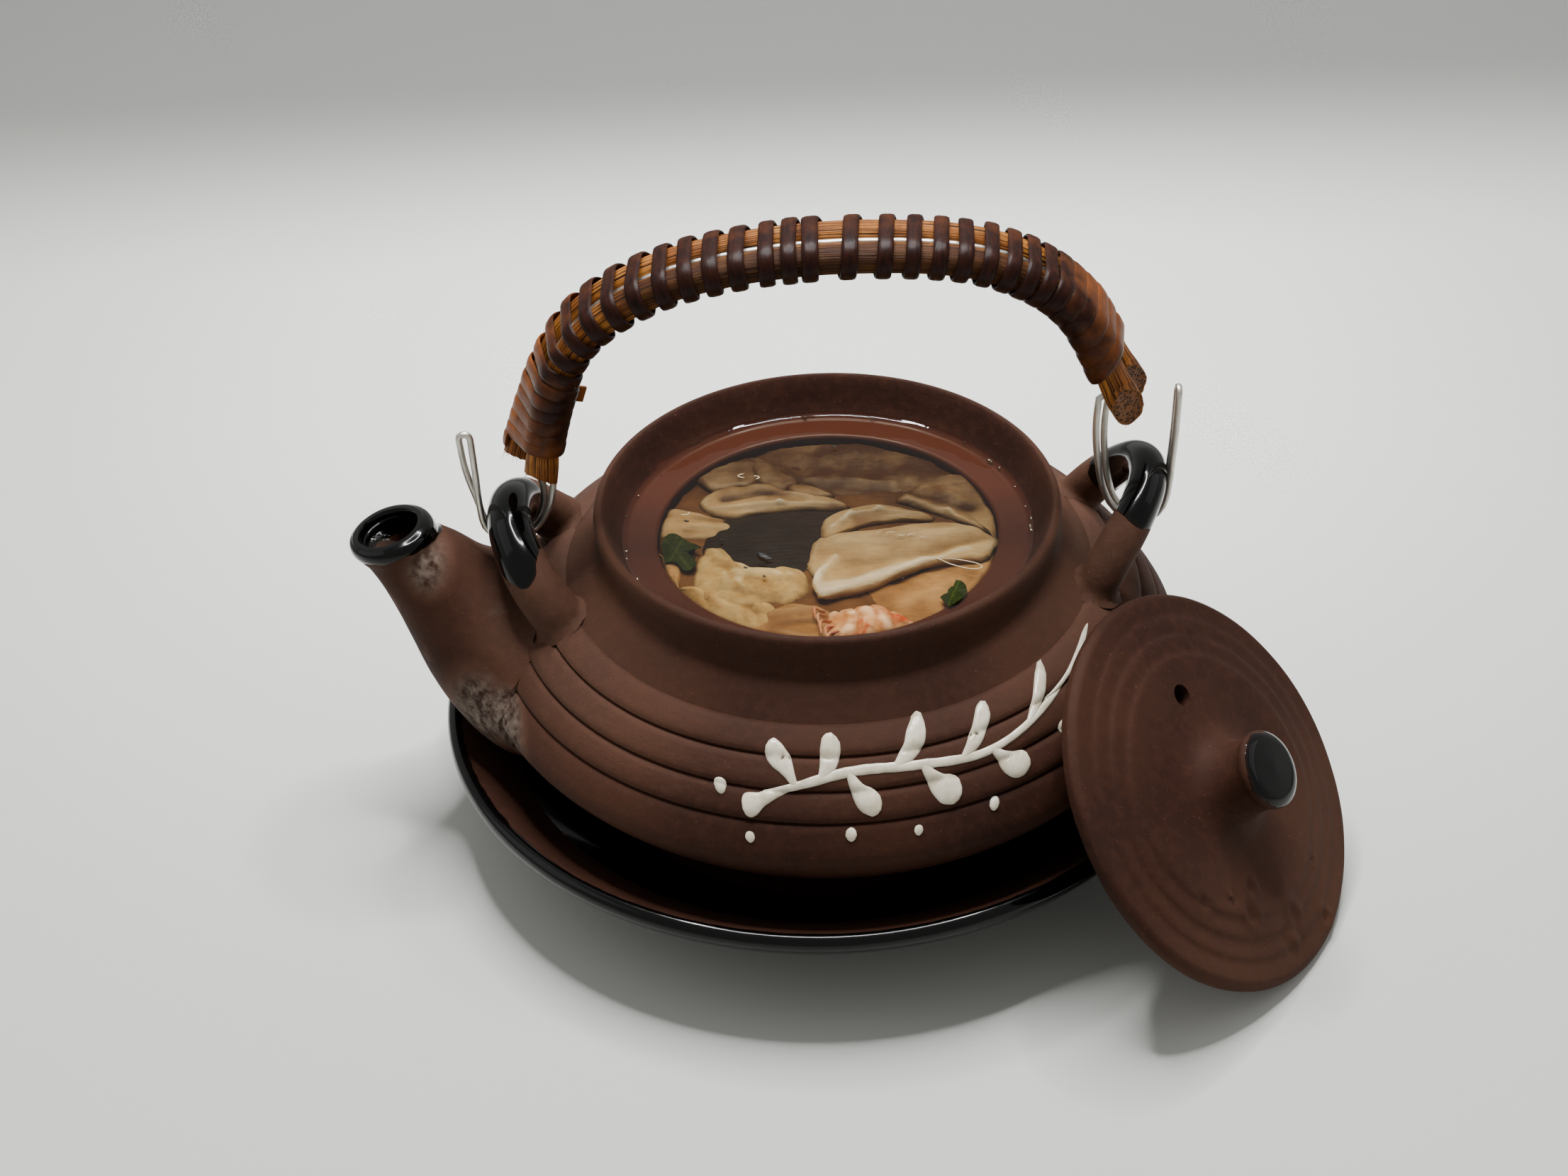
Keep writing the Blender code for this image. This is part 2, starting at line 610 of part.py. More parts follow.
def make_wire():
    """One doubled wire: a hairpin hook at each end, both strands running between the canes."""
    places, length = handle_spine(1.0)
    stations = hook_stations(LEFT_HOOK, -1)
    for stop in closer_at_bends(places, length, 18):
        at = 3.5 + stop * (length - 7.0) / length
        middle, _, outward, _ = section(places, length, at)
        inward = WIRE_INWARD * max(0.0, 1 - min(at, length - at) / WIRE_SINK)
        stations.append((middle - outward * inward, outward))
    stations += hook_stations(RIGHT_HOOK, 1)
    one, other = ([middle + spread * WIRE_APART * side for middle, spread in stations] for side in (-1, 1))
    tips = [end + (end - before).normalized() * 0.9
            for (before, _), (end, _) in (stations[1::-1], stations[-2:])]
    loop = one + [tips[1]] + list(reversed(other)) + [tips[0]]
    return tube("hook_wire", loop, [WIRE_R] * len(loop), parts, steel, resolution=1, closed=True)


def set_origin(objects, place):
    """Puts an object's origin at a place without moving the object."""
    for obj in objects:
        shift = Vector(place) * MM
        obj.data.transform(Matrix.Translation(-shift))
        obj.location = shift


for old in list(bpy.data.objects):
    bpy.data.objects.remove(old)

parts = collection("dobin_mushi")
cutters = collection("cutters")
joined = collection("joined_to_pot")
poured = collection("joined_to_broth")

brown_clay = finish("brown_clay", (0.115, 0.052, 0.035), 0.75)
clear_broth = finish("clear_broth", (0.55, 0.38, 0.16), 0.05)
mushroom = finish("mushroom", (0.55, 0.39, 0.22), 0.35)
white_fish = finish("white_fish", (0.72, 0.58, 0.34), 0.35)
shell_pink = finish("shrimp", (0.80, 0.42, 0.26), 0.30)
green = finish("mitsuba", (0.05, 0.13, 0.03), 0.35)
cane_tan = finish("cane", (0.36, 0.16, 0.05), 0.55)
strip_brown = finish("strip", (0.13, 0.045, 0.022), 0.50)
steel = finish("steel", (0.60, 0.60, 0.60), 0.25, 1.0)

make_saucer()
make_pot()
make_lid()
floating = make_food() + [make_shrimp(), make_leaf("mitsuba_leaf", (19.0, -18.2, BROTH_Z), 4.0, 30, 3)]
for piece in floating:
    float_up(piece)
make_broth(floating)
handle = make_canes() + [make_wrap(), make_wire()]
set_origin(handle, (0, AXIS_Y, AXIS_Z))
for extra in list(joined.objects) + list(poured.objects):
    extra.hide_render = True
    extra.display_type = "WIRE"
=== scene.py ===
# Dobin mushi: clear soup in a small unglazed teapot, on its saucer, lid leaning beside it.
import math
import random
from functools import partial
from itertools import accumulate

import bmesh
import bpy
from mathutils import Matrix, Vector
from mathutils.kdtree import KDTree
from mathutils.noise import noise


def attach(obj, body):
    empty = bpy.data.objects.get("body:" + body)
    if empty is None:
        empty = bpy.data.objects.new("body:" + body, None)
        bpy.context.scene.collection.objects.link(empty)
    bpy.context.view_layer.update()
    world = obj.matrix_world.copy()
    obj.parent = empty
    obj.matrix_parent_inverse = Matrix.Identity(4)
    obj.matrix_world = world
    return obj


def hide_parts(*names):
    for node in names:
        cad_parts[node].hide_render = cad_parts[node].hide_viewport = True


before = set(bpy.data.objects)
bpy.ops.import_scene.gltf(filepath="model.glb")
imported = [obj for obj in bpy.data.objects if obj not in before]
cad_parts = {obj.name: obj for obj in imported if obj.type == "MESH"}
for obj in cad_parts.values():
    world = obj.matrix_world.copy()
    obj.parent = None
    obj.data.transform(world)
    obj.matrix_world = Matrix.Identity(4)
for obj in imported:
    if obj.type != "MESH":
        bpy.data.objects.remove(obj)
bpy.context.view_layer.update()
mm = 0.001
rng = random.Random(11)


# Small helpers shared by all pieces

def paint(code):
    parts = [int(code[at:at + 2], 16) / 255 for at in (1, 3, 5)]
    return tuple(c / 12.92 if c <= 0.04045 else ((c + 0.055) / 1.055) ** 2.4 for c in parts) + (1.0,)


def feed(node, inputs):
    # a socket is linked to the input of that name or number, a plain value is set on it
    for key, value in inputs.items():
        if isinstance(value, bpy.types.NodeSocket):
            node.id_data.links.new(value, node.inputs[key])
        else:
            node.inputs[key].default_value = value


def addNode(tree, kind, inputs, out=None, **settings):
    # numbered inputs: Mix 0 share, 2 and 3 plain values, 6 and 7 colours; Map Range 1 and 2 from, 3 and 4 to
    node = tree.nodes.new("ShaderNode" + kind)
    for name, value in settings.items():
        setattr(node, name, value)
    feed(node, inputs)
    return node.outputs[out] if out else next(end for end in node.outputs if end.enabled)


def blankMaterial(name):
    # the material, what adds nodes to it, its shader, and Object coordinates
    material = bpy.data.materials.new(name)
    material.use_nodes = True
    add = partial(addNode, material.node_tree)
    return material, add, material.node_tree.nodes["Principled BSDF"], add("TexCoord", {}, out="Object")


def ownSurface(material, shader, ends):
    # the plain shader gives way to another surface or volume
    material.node_tree.nodes.remove(shader)
    feed(material.node_tree.nodes["Material Output"], ends)
    return material


def clamped(value, low=0.0, high=1.0):
    return max(low, min(high, value))


def eased(low, high, value):
    t = clamped((value - low) / (high - low))
    return t * t * (3 - 2 * t)


def bell(gap, size):
    # 1 at the middle, falling off smoothly to nothing at about twice the size
    return math.exp(-(gap / size) ** 2)


def wave(co, size, seed=0.0):
    # smooth noise between -1 and 1 whose lumps are about size millimetres
    return noise(Vector((co.x / size + seed, co.y / size - seed, co.z / size + seed * 0.5)))


def giveAttribute(obj, name, rule):
    made = obj.data.attributes.new(name, "FLOAT", "POINT")
    made.data.foreach_set("value", [rule(vert.co / mm) for vert in obj.data.vertices])


def ridesWith(name, bm, material, body, replaced=(), sharp=40):
    mesh = bpy.data.meshes.new(name)
    bm.to_mesh(mesh)
    bm.free()
    mesh.shade_smooth()
    mesh.set_sharp_from_angle(angle=math.radians(sharp))
    obj = bpy.data.objects.new(name, mesh)
    bpy.context.scene.collection.objects.link(obj)
    mesh.materials.clear()
    mesh.materials.append(material)
    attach(obj, body)
    if replaced:
        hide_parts(*replaced)
    return obj


def softened(points, soft, steps=4):
    # every corner of a profile becomes a small arc; a third number gives a corner its own size
    flat = [Vector(p[:2]) for p in points]
    result = [flat[0]]
    for before, here, after, given in zip(flat, flat[1:], flat[2:], points[1:]):
        size = given[2] if len(given) > 2 else soft
        start = here + (before - here).normalized() * min(size, (before - here).length * 0.48)
        end = here + (after - here).normalized() * min(size, (after - here).length * 0.48)
        for step in range(steps + 1):
            t = step / steps
            result.append(start * (1 - t) ** 2 + here * 2 * t * (1 - t) + end * t * t)
    return result + [flat[-1]]


def filled(points, gap):
    # no two neighbours further apart than gap
    result = [points[0]]
    for before, after in zip(points, points[1:]):
        count = max(1, math.ceil((after - before).length / gap))
        result += [before.lerp(after, (step + 1) / count) for step in range(count)]
    return result


def spunShell(profile, steps):
    bm = bmesh.new()
    dots = [bm.verts.new((p.x * mm, 0, p.y * mm)) for p in profile]
    lines = [bm.edges.new(pair) for pair in zip(dots, dots[1:])]
    bmesh.ops.spin(bm, geom=dots + lines, cent=(0, 0, 0), axis=(0, 0, 1), angle=math.tau, steps=steps,
                   use_merge=True, use_duplicate=False)
    bmesh.ops.remove_doubles(bm, verts=bm.verts, dist=1e-6)
    bmesh.ops.recalc_face_normals(bm, faces=bm.faces)
    return bm


def wrappedTube(around, along, placeAt, capped=True):
    # a grid bent into a tube: placeAt(u, v) gives the point, u running round and v along, both 0 to 1
    bm = bmesh.new()
    layer = bm.loops.layers.uv.new("UVMap")
    bmesh.ops.create_grid(bm, x_segments=around, y_segments=along, size=1.0, calc_uvs=True)
    spots = {vert: ((vert.co.x + 1) / 2, (vert.co.y + 1) / 2) for vert in bm.verts}
    for face in bm.faces:
        for loop in face.loops:
            loop[layer].uv = spots[loop.vert]
    for vert, (u, v) in spots.items():
        vert.co = placeAt(u, v) * mm
    bmesh.ops.remove_doubles(bm, verts=bm.verts, dist=2e-6)
    if capped:
        rims = [edge for edge in bm.edges if edge.is_boundary]
        for face in bmesh.ops.holes_fill(bm, edges=rims, sides=0)["faces"]:
            for loop in face.loops:
                loop[layer].uv = (0.5, 0.0)
    bmesh.ops.recalc_face_normals(bm, faces=bm.faces)
    return bm


def looseMesh(name, bm):
    mesh = bpy.data.meshes.new(name)
    bm.to_mesh(mesh)
    bm.free()
    obj = bpy.data.objects.new(name, mesh)
    bpy.context.scene.collection.objects.link(obj)
    return obj


def joined(pieces):
    whole = bmesh.new()
    for piece in pieces:
        spare = bpy.data.meshes.new("pieceSpare")
        piece.to_mesh(spare)
        piece.free()
        whole.from_mesh(spare)
        bpy.data.meshes.remove(spare)
    return whole


def carved(obj, tools):
    # the object cut or joined with each tool in turn; all of them are used up
    for operation, tool in tools:
        step = obj.modifiers.new("carve", "BOOLEAN")
        step.operation = operation
        step.object = tool
        step.solver = "EXACT"
    bpy.context.view_layer.update()
    seen = obj.evaluated_get(bpy.context.evaluated_depsgraph_get())
    bm = bmesh.new()
    bm.from_mesh(seen.to_mesh())
    for old in [obj] + [tool for _, tool in tools]:
        bpy.data.objects.remove(old)
    return bm


def curvePoint(p0, p1, p2, p3, t):
    # a place between p1 and p2, with the neighbours minded
    return 0.5 * (2 * p1 + (p2 - p0) * t + (2 * p0 - 5 * p1 + 4 * p2 - p3) * t * t
                  + (3 * p1 - p0 - 3 * p2 + p3) * t ** 3)


def evenPlaces(line, step=None, count=None):
    # evenly spaced places on a fine line, and its length
    far = list(accumulate(((b - a).length for a, b in zip(line, line[1:])), initial=0.0))
    count = count or max(2, round(far[-1] / step))
    places = []
    at = 1
    for number in range(count + 1):
        goal = far[-1] * number / count
        while far[at] < goal - 1e-9:
            at += 1
        part = (goal - far[at - 1]) / max(far[at] - far[at - 1], 1e-9)
        places.append(line[at - 1].lerp(line[at], part))
    return places, far[-1]


def throughPoints(points, step):
    # evenly spaced places on a smooth curve through the points, of any number of coordinates
    first = tuple(2 * a - b for a, b in zip(points[0], points[1]))
    last = tuple(2 * a - b for a, b in zip(points[-1], points[-2]))
    knots = [Vector(p) for p in [first, *points, last]]
    fine = [curvePoint(*four, part / 32) for four in zip(knots, knots[1:], knots[2:], knots[3:])
            for part in range(32)]
    return evenPlaces(fine + [knots[-2]], step)


def nearestOn(spot, a, b):
    # the place of the line from a to b that is nearest to spot, and its share of the way
    run = b - a
    share = clamped((spot - a).dot(run) / max(run.length_squared, 1e-9))
    return a + run * share, share


def sideOf(a, b):
    # the way out of a profile line, left of its run
    run = (b - a).normalized()
    return Vector((-run.y, run.x))


print("helpers ready")


# Unglazed red stoneware with a black gloss glaze dipped over a few places: a dull, fine-grained
# chocolate brown with lime bloom where water dries, dark and shiny where it is wet or glazed

# the dust tone also paints the sheen on the pot's shoulders
clayLook = {"dark": "#26140e", "mid": "#331d13", "pale": "#462a1e", "speck": "#5e3f30", "wet": "#3f1f15",
            "lime": "#887c70", "dustAndSheen": "#8c6450", "glaze": "#030303", "thinGlaze": "#160a07",
            "sizes": {"clouds": 24, "mottle": 1.6, "grain": 0.45, "streaks": 0.9, "wobble": 3.5, "pool": 6.0},
            "dullness": 0.74, "wetDullness": 0.35, "glazeDullness": 0.15, "wetFilm": 0.18, "filmDullness": 0.04,
            "filmIor": 1.23, "sheen": 0.10}


def stoneware(look):
    material, add, shader, place = blankMaterial("redStonewareBlackGlaze")
    level = add("Mapping", {"Vector": place, "Scale": (0.12, 0.12, 1.0)})   # for the throwing streaks
    clouds, mottle, grain, streaks, wobble, pool = (
        add("TexNoise", {"Vector": level if name == "streaks" else place, "Scale": 1000 / look["sizes"][name],
                         "Detail": detail, "Roughness": rough})
        for name, detail, rough in (("clouds", 3.0, 0.5), ("mottle", 5.0, 0.65), ("grain", 2.0, 0.5),
                                    ("streaks", 2.0, 0.5), ("wobble", 2.0, 0.5), ("pool", 1.0, 0.5)))
    wet, lime, reach = (add("Attribute", {}, out="Fac", attribute_name=name)
                        for name in ("wetness", "limeBloomAndSheen", "glazeReach"))
    cloudy = add("MapRange", {"Value": clouds, 1: 0.35, 2: 0.68})
    mottled = add("MapRange", {"Value": mottle, 1: 0.45, 2: 0.8, 4: 0.45})
    specks = add("MapRange", {"Value": grain, 1: 0.70, 2: 0.76, 4: 0.7})
    # thin lime is an even dust, which on the pot's shoulders also paints a sheen; thick lime breaks up into flakes
    flaky = add("MapRange", {"Value": lime, 1: 0.12, 2: 0.45})
    patchy = add("MapRange", {"Value": mottle, 1: 0.38, 2: 0.72})
    patchy = add("Mix", {0: flaky, 2: 1.0, 3: patchy})
    bloom = add("Math", {0: lime, 1: patchy}, operation="MULTIPLY")
    powder = add("Mix", {0: flaky, 6: paint(look["dustAndSheen"]), 7: paint(look["lime"])}, data_type="RGBA")
    # the glaze's edge wanders and thins out to brown
    edge = add("Math", {0: wobble, 1: 1.4, 2: -0.7}, operation="MULTIPLY_ADD")
    reach = add("Math", {0: reach, 1: edge}, operation="ADD")
    glazed = add("MapRange", {"Value": reach, 1: -0.06, 2: 0.06})
    thick = add("MapRange", {"Value": reach, 1: 0.0, 2: 0.5})
    coat = add("Mix", {0: thick, 6: paint(look["thinGlaze"]), 7: paint(look["glaze"])}, data_type="RGBA")
    colour = paint(look["dark"])
    for share, over in ((cloudy, paint(look["mid"])), (mottled, paint(look["pale"])),
                        (specks, paint(look["speck"])), (wet, paint(look["wet"])), (bloom, powder),
                        (glazed, coat)):
        colour = add("Mix", {0: share, 6: colour, 7: over}, data_type="RGBA")
    dull = add("MapRange", {"Value": mottle, 1: 0.3, 2: 0.8, 3: look["dullness"] - 0.08, 4: look["dullness"] + 0.08})
    dull = add("Mix", {0: wet, 2: dull, 3: look["wetDullness"]})
    rough = add("Mix", {0: glazed, 2: dull, 3: look["glazeDullness"]})
    film = add("Math", {0: wet, 1: look["wetFilm"]}, operation="MULTIPLY")
    film = add("Math", {0: film, 1: glazed}, operation="MAXIMUM")
    # sandy to the touch, less so where wet, and softly dimpled under the glaze
    sandy = add("Math", {0: grain, 1: 0.035}, operation="MULTIPLY")
    sandy = add("Math", {0: mottle, 1: 0.10, 2: sandy}, operation="MULTIPLY_ADD")
    sandy = add("Math", {0: streaks, 1: 0.05, 2: sandy}, operation="MULTIPLY_ADD")
    rubbed = add("MapRange", {"Value": wet, 3: 1.0, 4: 0.25})
    sandy = add("Math", {0: sandy, 1: rubbed}, operation="MULTIPLY")
    smooth = add("Math", {0: pool, 1: 0.12, 2: 0.25}, operation="MULTIPLY_ADD")
    height = add("Mix", {0: glazed, 2: sandy, 3: smooth})
    relief = add("Bump", {"Height": height, "Distance": mm, "Strength": 1.0})
    feed(shader, {"Base Color": colour, "Roughness": rough, "Normal": relief, "Coat Weight": film,
                  "Coat Roughness": look["filmDullness"], "Coat IOR": look["filmIor"],
                  "Specular IOR Level": look["sheen"]})
    return material


claySurface = stoneware(clayLook)


def markClay(obj, glaze, lime, wet=lambda co: 0.0):
    # glaze is in millimetres inside the dipped edge, the others run from 0 to 1
    giveAttribute(obj, "glazeReach", glaze)
    giveAttribute(obj, "limeBloomAndSheen", lime)
    giveAttribute(obj, "wetness", wet)


# Saucer

saucerShape = {"centreX": -1.5, "glazeFrom": 63.8, "wellR": 38, "footR": 34, "footGlaze": 0.6, "lime": 0.03,
               "warp": (0.12, 30, 3.0), "steps": 192,
               "profile": [(0, 5.5), (38, 5.5), (44, 7.0, 3), (52, 11.7, 4), (59, 16.9, 3), (63.6, 19.6, 0.8),
                           (64.6, 20.4, 0.5), (66.0, 19.8, 0.7), (66.4, 18.2, 0.9), (64.9, 15.8, 2),
                           (58.4, 10.6, 4), (48, 4.6, 3), (40, 2.2, 1.5), (36.9, 1.8, 0.6), (36.1, 0.5, 0.4),
                           (35.5, 0, 0.3), (0, 0)]}


def makeSaucer(shape):
    bm = spunShell(filled(softened(shape["profile"], 0.5), 2.5), shape["steps"])
    high, size, seed = shape["warp"]
    for vert in bm.verts:
        vert.co.z += high * mm * wave(vert.co / mm, size, seed) * eased(36, 60, vert.co.to_2d().length / mm)
        vert.co.x += shape["centreX"] * mm
    obj = ridesWith("saucerDish", bm, claySurface, "pot_on_saucer", ["saucer"])

    def glaze(co):
        # on the rim only above, on all but the foot's edge below
        far = math.hypot(co.x - shape["centreX"], co.y)
        if co.z > 5.2 + max(0, far - shape["wellR"]) * 0.5:
            return far - shape["glazeFrom"]
        return min(6.0, co.z - shape["footGlaze"] if far > shape["footR"] else -3)

    markClay(obj, glaze, lambda co: shape["lime"])


makeSaucer(saucerShape)
print("saucer done")


# Pot: thrown body with stepped shoulder, pulled spout, two ears

potShape = {"footR": 30.0, "footZ": 5.8, "bellyR": 60.2, "bellyZ": 31.1, "bellyPower": 1.28,
            "creases": [(45.3, 48.1), (49.9, 44.9), (53.8, 40.9), (57.0, 36.8)], "creaseDepth": 0.6,
            "bulge": 0.42, "steps": 176,
            "inside": [(0, 10), (25, 10), (35.5, 13.2), (44.6, 18.8), (51.5, 24.5), (56.4, 29.4), (54.6, 32.8),
                       (49.4, 37), (41, 44.2), (31.5, 48.9), (29, 50.3, 0.8), (29, 52.9, 0.3),
                       (29.4, 53.3, 0.3), (34.0, 53.3, 0.5), (34.6, 53.7, 0.5), (35.6, 55.2, 1),
                       (37.2, 58.7, 1.5), (38.0, 60.1, 0.5), (38.4, 60.4, 0.4), (39.3, 60.0, 0.5),
                       (39.6, 58.9, 0.8), (39.5, 57.5, 1), (39.1, 55.4, 1.5), (39.4, 53.1, 1.5),
                       (40.6, 51.7, 1.0), (43.2, 50.1, 1.0)],
            # a plug a hair smaller than the hollow, which clears the spout's and ears' roots out of it
            "plug": [(0, 10.3), (24.9, 10.3), (35.2, 13.5), (44.3, 19.1), (51.2, 24.8), (55.9, 29.4), (54.3, 32.6),
                     (49.1, 36.7), (40.7, 43.9), (31.4, 48.2), (0, 48.2)]}


def bellyRadius(shape, part):
    # radius of the belly at that share of the way down from its widest place
    power = shape["bellyPower"]
    return shape["footR"] + (shape["bellyR"] - shape["footR"]) * (1 - part ** power) ** (1 / power)


def shoulderBands(shape):
    # bulging bands between cut creases; marks are millimetres along a band and out of it
    points = []
    stops = shape["creases"] + [(shape["bellyR"], shape["bellyZ"])]
    for number, (start, end) in enumerate(zip(stops, stops[1:])):
        start, end = Vector(start), Vector(end)
        run, out = end - start, sideOf(start, end)
        long = run.length
        marks = [(0, -shape["creaseDepth"]), (0.22, -0.30), (0.6, 0.05)]
        marks += [(long * s, shape["bulge"] * k) for s, k in ((0.25, 0.55), (0.45, 0.85), (0.65, 1.0), (0.8, 0.95))]
        if number < len(stops) - 2:
            marks += [(long - 0.75, shape["bulge"] * 0.75), (long - 0.3, 0.08)]
        points += [start + run * (far / long) + out * lift for far, lift in marks]
    return points


def potOutline(shape):
    outline = softened(shape["inside"], 1.5)[:-1] + shoulderBands(shape)
    drop = shape["footZ"] + 1.2 - shape["bellyZ"]
    outline += [Vector((bellyRadius(shape, part), shape["bellyZ"] + drop * part))
                for part in (step / 26 for step in range(26))]
    foot = [(bellyRadius(shape, 0.97), shape["footZ"] + 2.2), (shape["footR"], shape["footZ"] + 1.0, 0.5),
            (shape["footR"] - 0.4, shape["footZ"], 0.3), (0, shape["footZ"])]
    return filled(outline + softened(foot, 0.4)[1:], 2.2)


outerLine = potOutline(potShape)
outerLine = outerLine[max(range(len(outerLine)), key=lambda i: outerLine[i].y):]   # from the mouth's top down


def offBody(co):
    # distance out of the pot's outer wall of a point in millimetres, less than nothing inside it
    here = Vector((math.hypot(co.x, co.y), co.z))
    nearest, way = Vector((1e6, 1e6)), None
    for a, b in zip(outerLine, outerLine[1:]):
        gap = here - nearestOn(here, a, b)[0]
        if gap.length_squared < nearest.length_squared:
            nearest, way = gap, sideOf(a, b)
    return nearest.length if nearest.dot(way) > 0 else -nearest.length


def flared(co, middle, reach):
    # clay smoothed into the body: the nearer the wall, the wider the limb, in a quarter circle
    off = offBody(co)
    near = max(0.0, off)
    if near >= reach or off < -1.5:
        return co
    wide = reach - math.sqrt(max(0.0, reach * reach - (reach - near) ** 2))
    return co + (co - middle).normalized() * wide * min(1.0, 1 + off / 1.5)


# spout rings run from the lip down: x, z, half width in the plane, half width across, tilt
spoutShape = {"around": 56, "along": 72, "boreSteps": 40, "fillet": 3.2, "lumps": (0.12, 6, 1.0), "glazeDeep": 3.4,
              "rings": [(-74.62, 57.25, 0.3, 0.3, 14), (-74.56, 57.2, 5.6, 5.6, 14), (-74.5, 57.0, 6.5, 6.6, 14),
                        (-74.3, 56.5, 7.2, 7.3, 14), (-73.9, 55.6, 7.45, 7.5, 16), (-73.2, 54.6, 7.2, 7.3, 18),
                        (-72.0, 53.0, 6.9, 7.0, 22), (-69.0, 49.4, 7.9, 8.3, 30), (-64.9, 43.0, 9.9, 11.2, 38),
                        (-59.3, 36.2, 13.2, 16.5, 46), (-51.2, 30.2, 15.8, 22.0, 52),
                        (-44.0, 26.5, 15.5, 22.0, 58)],
              "bore": [(-75.4, 60.2, 7.6, 7.6, 14), (-74.75, 57.9, 6.0, 6.0, 14), (-74.5, 57.0, 5.25, 5.25, 14),
                       (-74.2, 56.0, 4.95, 4.95, 15), (-73.3, 55.1, 4.9, 4.9, 17), (-68.6, 48.9, 5.4, 5.4, 32),
                       (-62.0, 41.2, 6.2, 6.2, 42), (-50.0, 31.8, 7.0, 7.0, 52), (-43.5, 29.0, 7.2, 7.2, 60)]}


def ringPoint(rings, u, v, grow=0.0):
    # a point of the limb's skin and the middle it stands off
    last = len(rings) - 1
    low = min(int(v * last), last - 1)
    four = [Vector(rings[int(clamped(low + k, 0, last))]) for k in (-1, 0, 1, 2)]
    x, z, halfIn, halfY, tilt = curvePoint(*four, v * last - low)
    lean = math.radians(tilt)
    inPlane = math.cos(u * math.tau) * max(0.05, halfIn + grow)
    return (Vector((x + inPlane * math.cos(lean), math.sin(u * math.tau) * max(0.05, halfY + grow),
                    z + inPlane * math.sin(lean))), Vector((x, 0, z)))


def makeSpout(shape):
    high, size, seed = shape["lumps"]

    def outside(u, v):
        co, middle = ringPoint(shape["rings"], u, v)
        co = co + (co - middle).normalized() * high * wave(co, size, seed)
        return flared(co, middle, shape["fillet"])

    return looseMesh("spoutTool", wrappedTube(shape["around"], shape["along"], outside))


def makeBore(shape, grow=0.0):
    steps = shape["boreSteps"]
    bm = wrappedTube(steps, steps, lambda u, v: ringPoint(shape["bore"], u, v, grow)[0])
    return looseMesh("boreTool", bm)


# ears: glaze gives the shares of the ear between which it is glazed, round how far that edge bows
earShape = {"footZ": 44.6, "footX": 44.0, "halfSpan": 15.0, "around": 36, "along": 84, "fillet": 1.3,
            "closing": 0.03, "long": 44, "dipWay": (0.2, -0.77, 0.6),
            "left": {"side": -1, "y": 1.5, "topX": 53.8, "topZ": 58.2, "thick": 3.9, "foot": 4.5, "hug": 1.0,
                     "glaze": (0.30, 0.81), "round": 0.24, "from": 0.04},
            "right": {"side": 1, "y": 4.2, "topX": 54.6, "topZ": 61.1, "thick": 3.3, "foot": 3.9, "hug": 1.5,
                      "glaze": (0.20, 0.74), "round": 0.07, "from": 0.004}}


def earMiddle(shape, ear, share):
    # middle and half thickness of the ear's arch at that share of it, from its far foot to its near one
    turn = math.pi * share
    rise = max(0.0, math.sin(turn)) ** (1.5 if share < 0.5 else 1.0)
    across = max(0.0, math.sin(turn)) ** ear["hug"]
    return (Vector((ear["side"] * (shape["footX"] + (ear["topX"] - shape["footX"]) * across),
                    ear["y"] + shape["halfSpan"] * math.cos(turn),
                    shape["footZ"] + (ear["topZ"] - shape["footZ"]) * rise)),
            ear["thick"] + (ear["foot"] - ear["thick"]) * (1 - rise) ** 0.8)


def makeEar(shape, ear):
    # a rolled coil of clay bent to an arch
    def outside(u, v):
        share = ear["from"] + v * (0.996 - ear["from"])
        middle, thick = earMiddle(shape, ear, share)
        ahead = earMiddle(shape, ear, share + 0.003)[0] - earMiddle(shape, ear, share - 0.003)[0]
        along = ahead.normalized()
        out = Vector((ear["side"], 0, 0.5))
        out = (out - along * out.dot(along)).normalized()
        over = along.cross(out)
        closing = math.sqrt(1 - (1 - min(1.0, min(v, 1 - v) / shape["closing"])) ** 2)
        angle = u * math.tau
        swell = 1 + 0.035 * wave(middle, 5, ear["y"]) + 0.02 * math.cos(2 * angle + v * 5)
        co = middle + (out * math.cos(angle) + over * math.sin(angle)) * thick * swell * max(0.03, closing)
        return flared(co, middle, shape["fillet"])
    return looseMesh("earTool", wrappedTube(shape["around"], shape["along"], outside))


def earGlaze(co, steps=40):
    # how far inside the glaze a point of an ear lies, along the ear
    for ear in (earShape["left"], earShape["right"]):
        if co.x * ear["side"] <= 40 or abs(co.y - ear["y"]) >= 20:
            continue
        path = [earMiddle(earShape, ear, step / steps) for step in range(steps + 1)]
        marks = []
        for step, ((here, thick), (ahead, _)) in enumerate(zip(path, path[1:])):
            spot, part = nearestOn(co, here, ahead)
            marks.append(((co - spot).length, (step + part) / steps, thick, here, ahead - here))
        gap, share, thick, here, run = min(marks, key=lambda mark: mark[0])
        if gap < thick + 1.2:
            x, y, z = earShape["dipWay"]
            over = (co - here).dot(Vector((ear["side"] * x, y, z)).cross(run).normalized())
            low, high = ear["glaze"]
            return min(share - low, high - share) * earShape["long"] - ear["round"] * over * over
    return -9.0


# lime, dust with a painted sheen, and glaze on the pot: the lip's middle, its tilt, and marks of dried water
potMarks = {"lip": (-74.5, 0, 57.0), "lipTilt": 14, "lipReach": 12, "dustAndSheenLeft": (24, 44), "dustAndSheenRight": (41, 47),
            "earMark": (-46.5, -12, 46.5), "wetTo": 54.3, "wetR": 36.2}


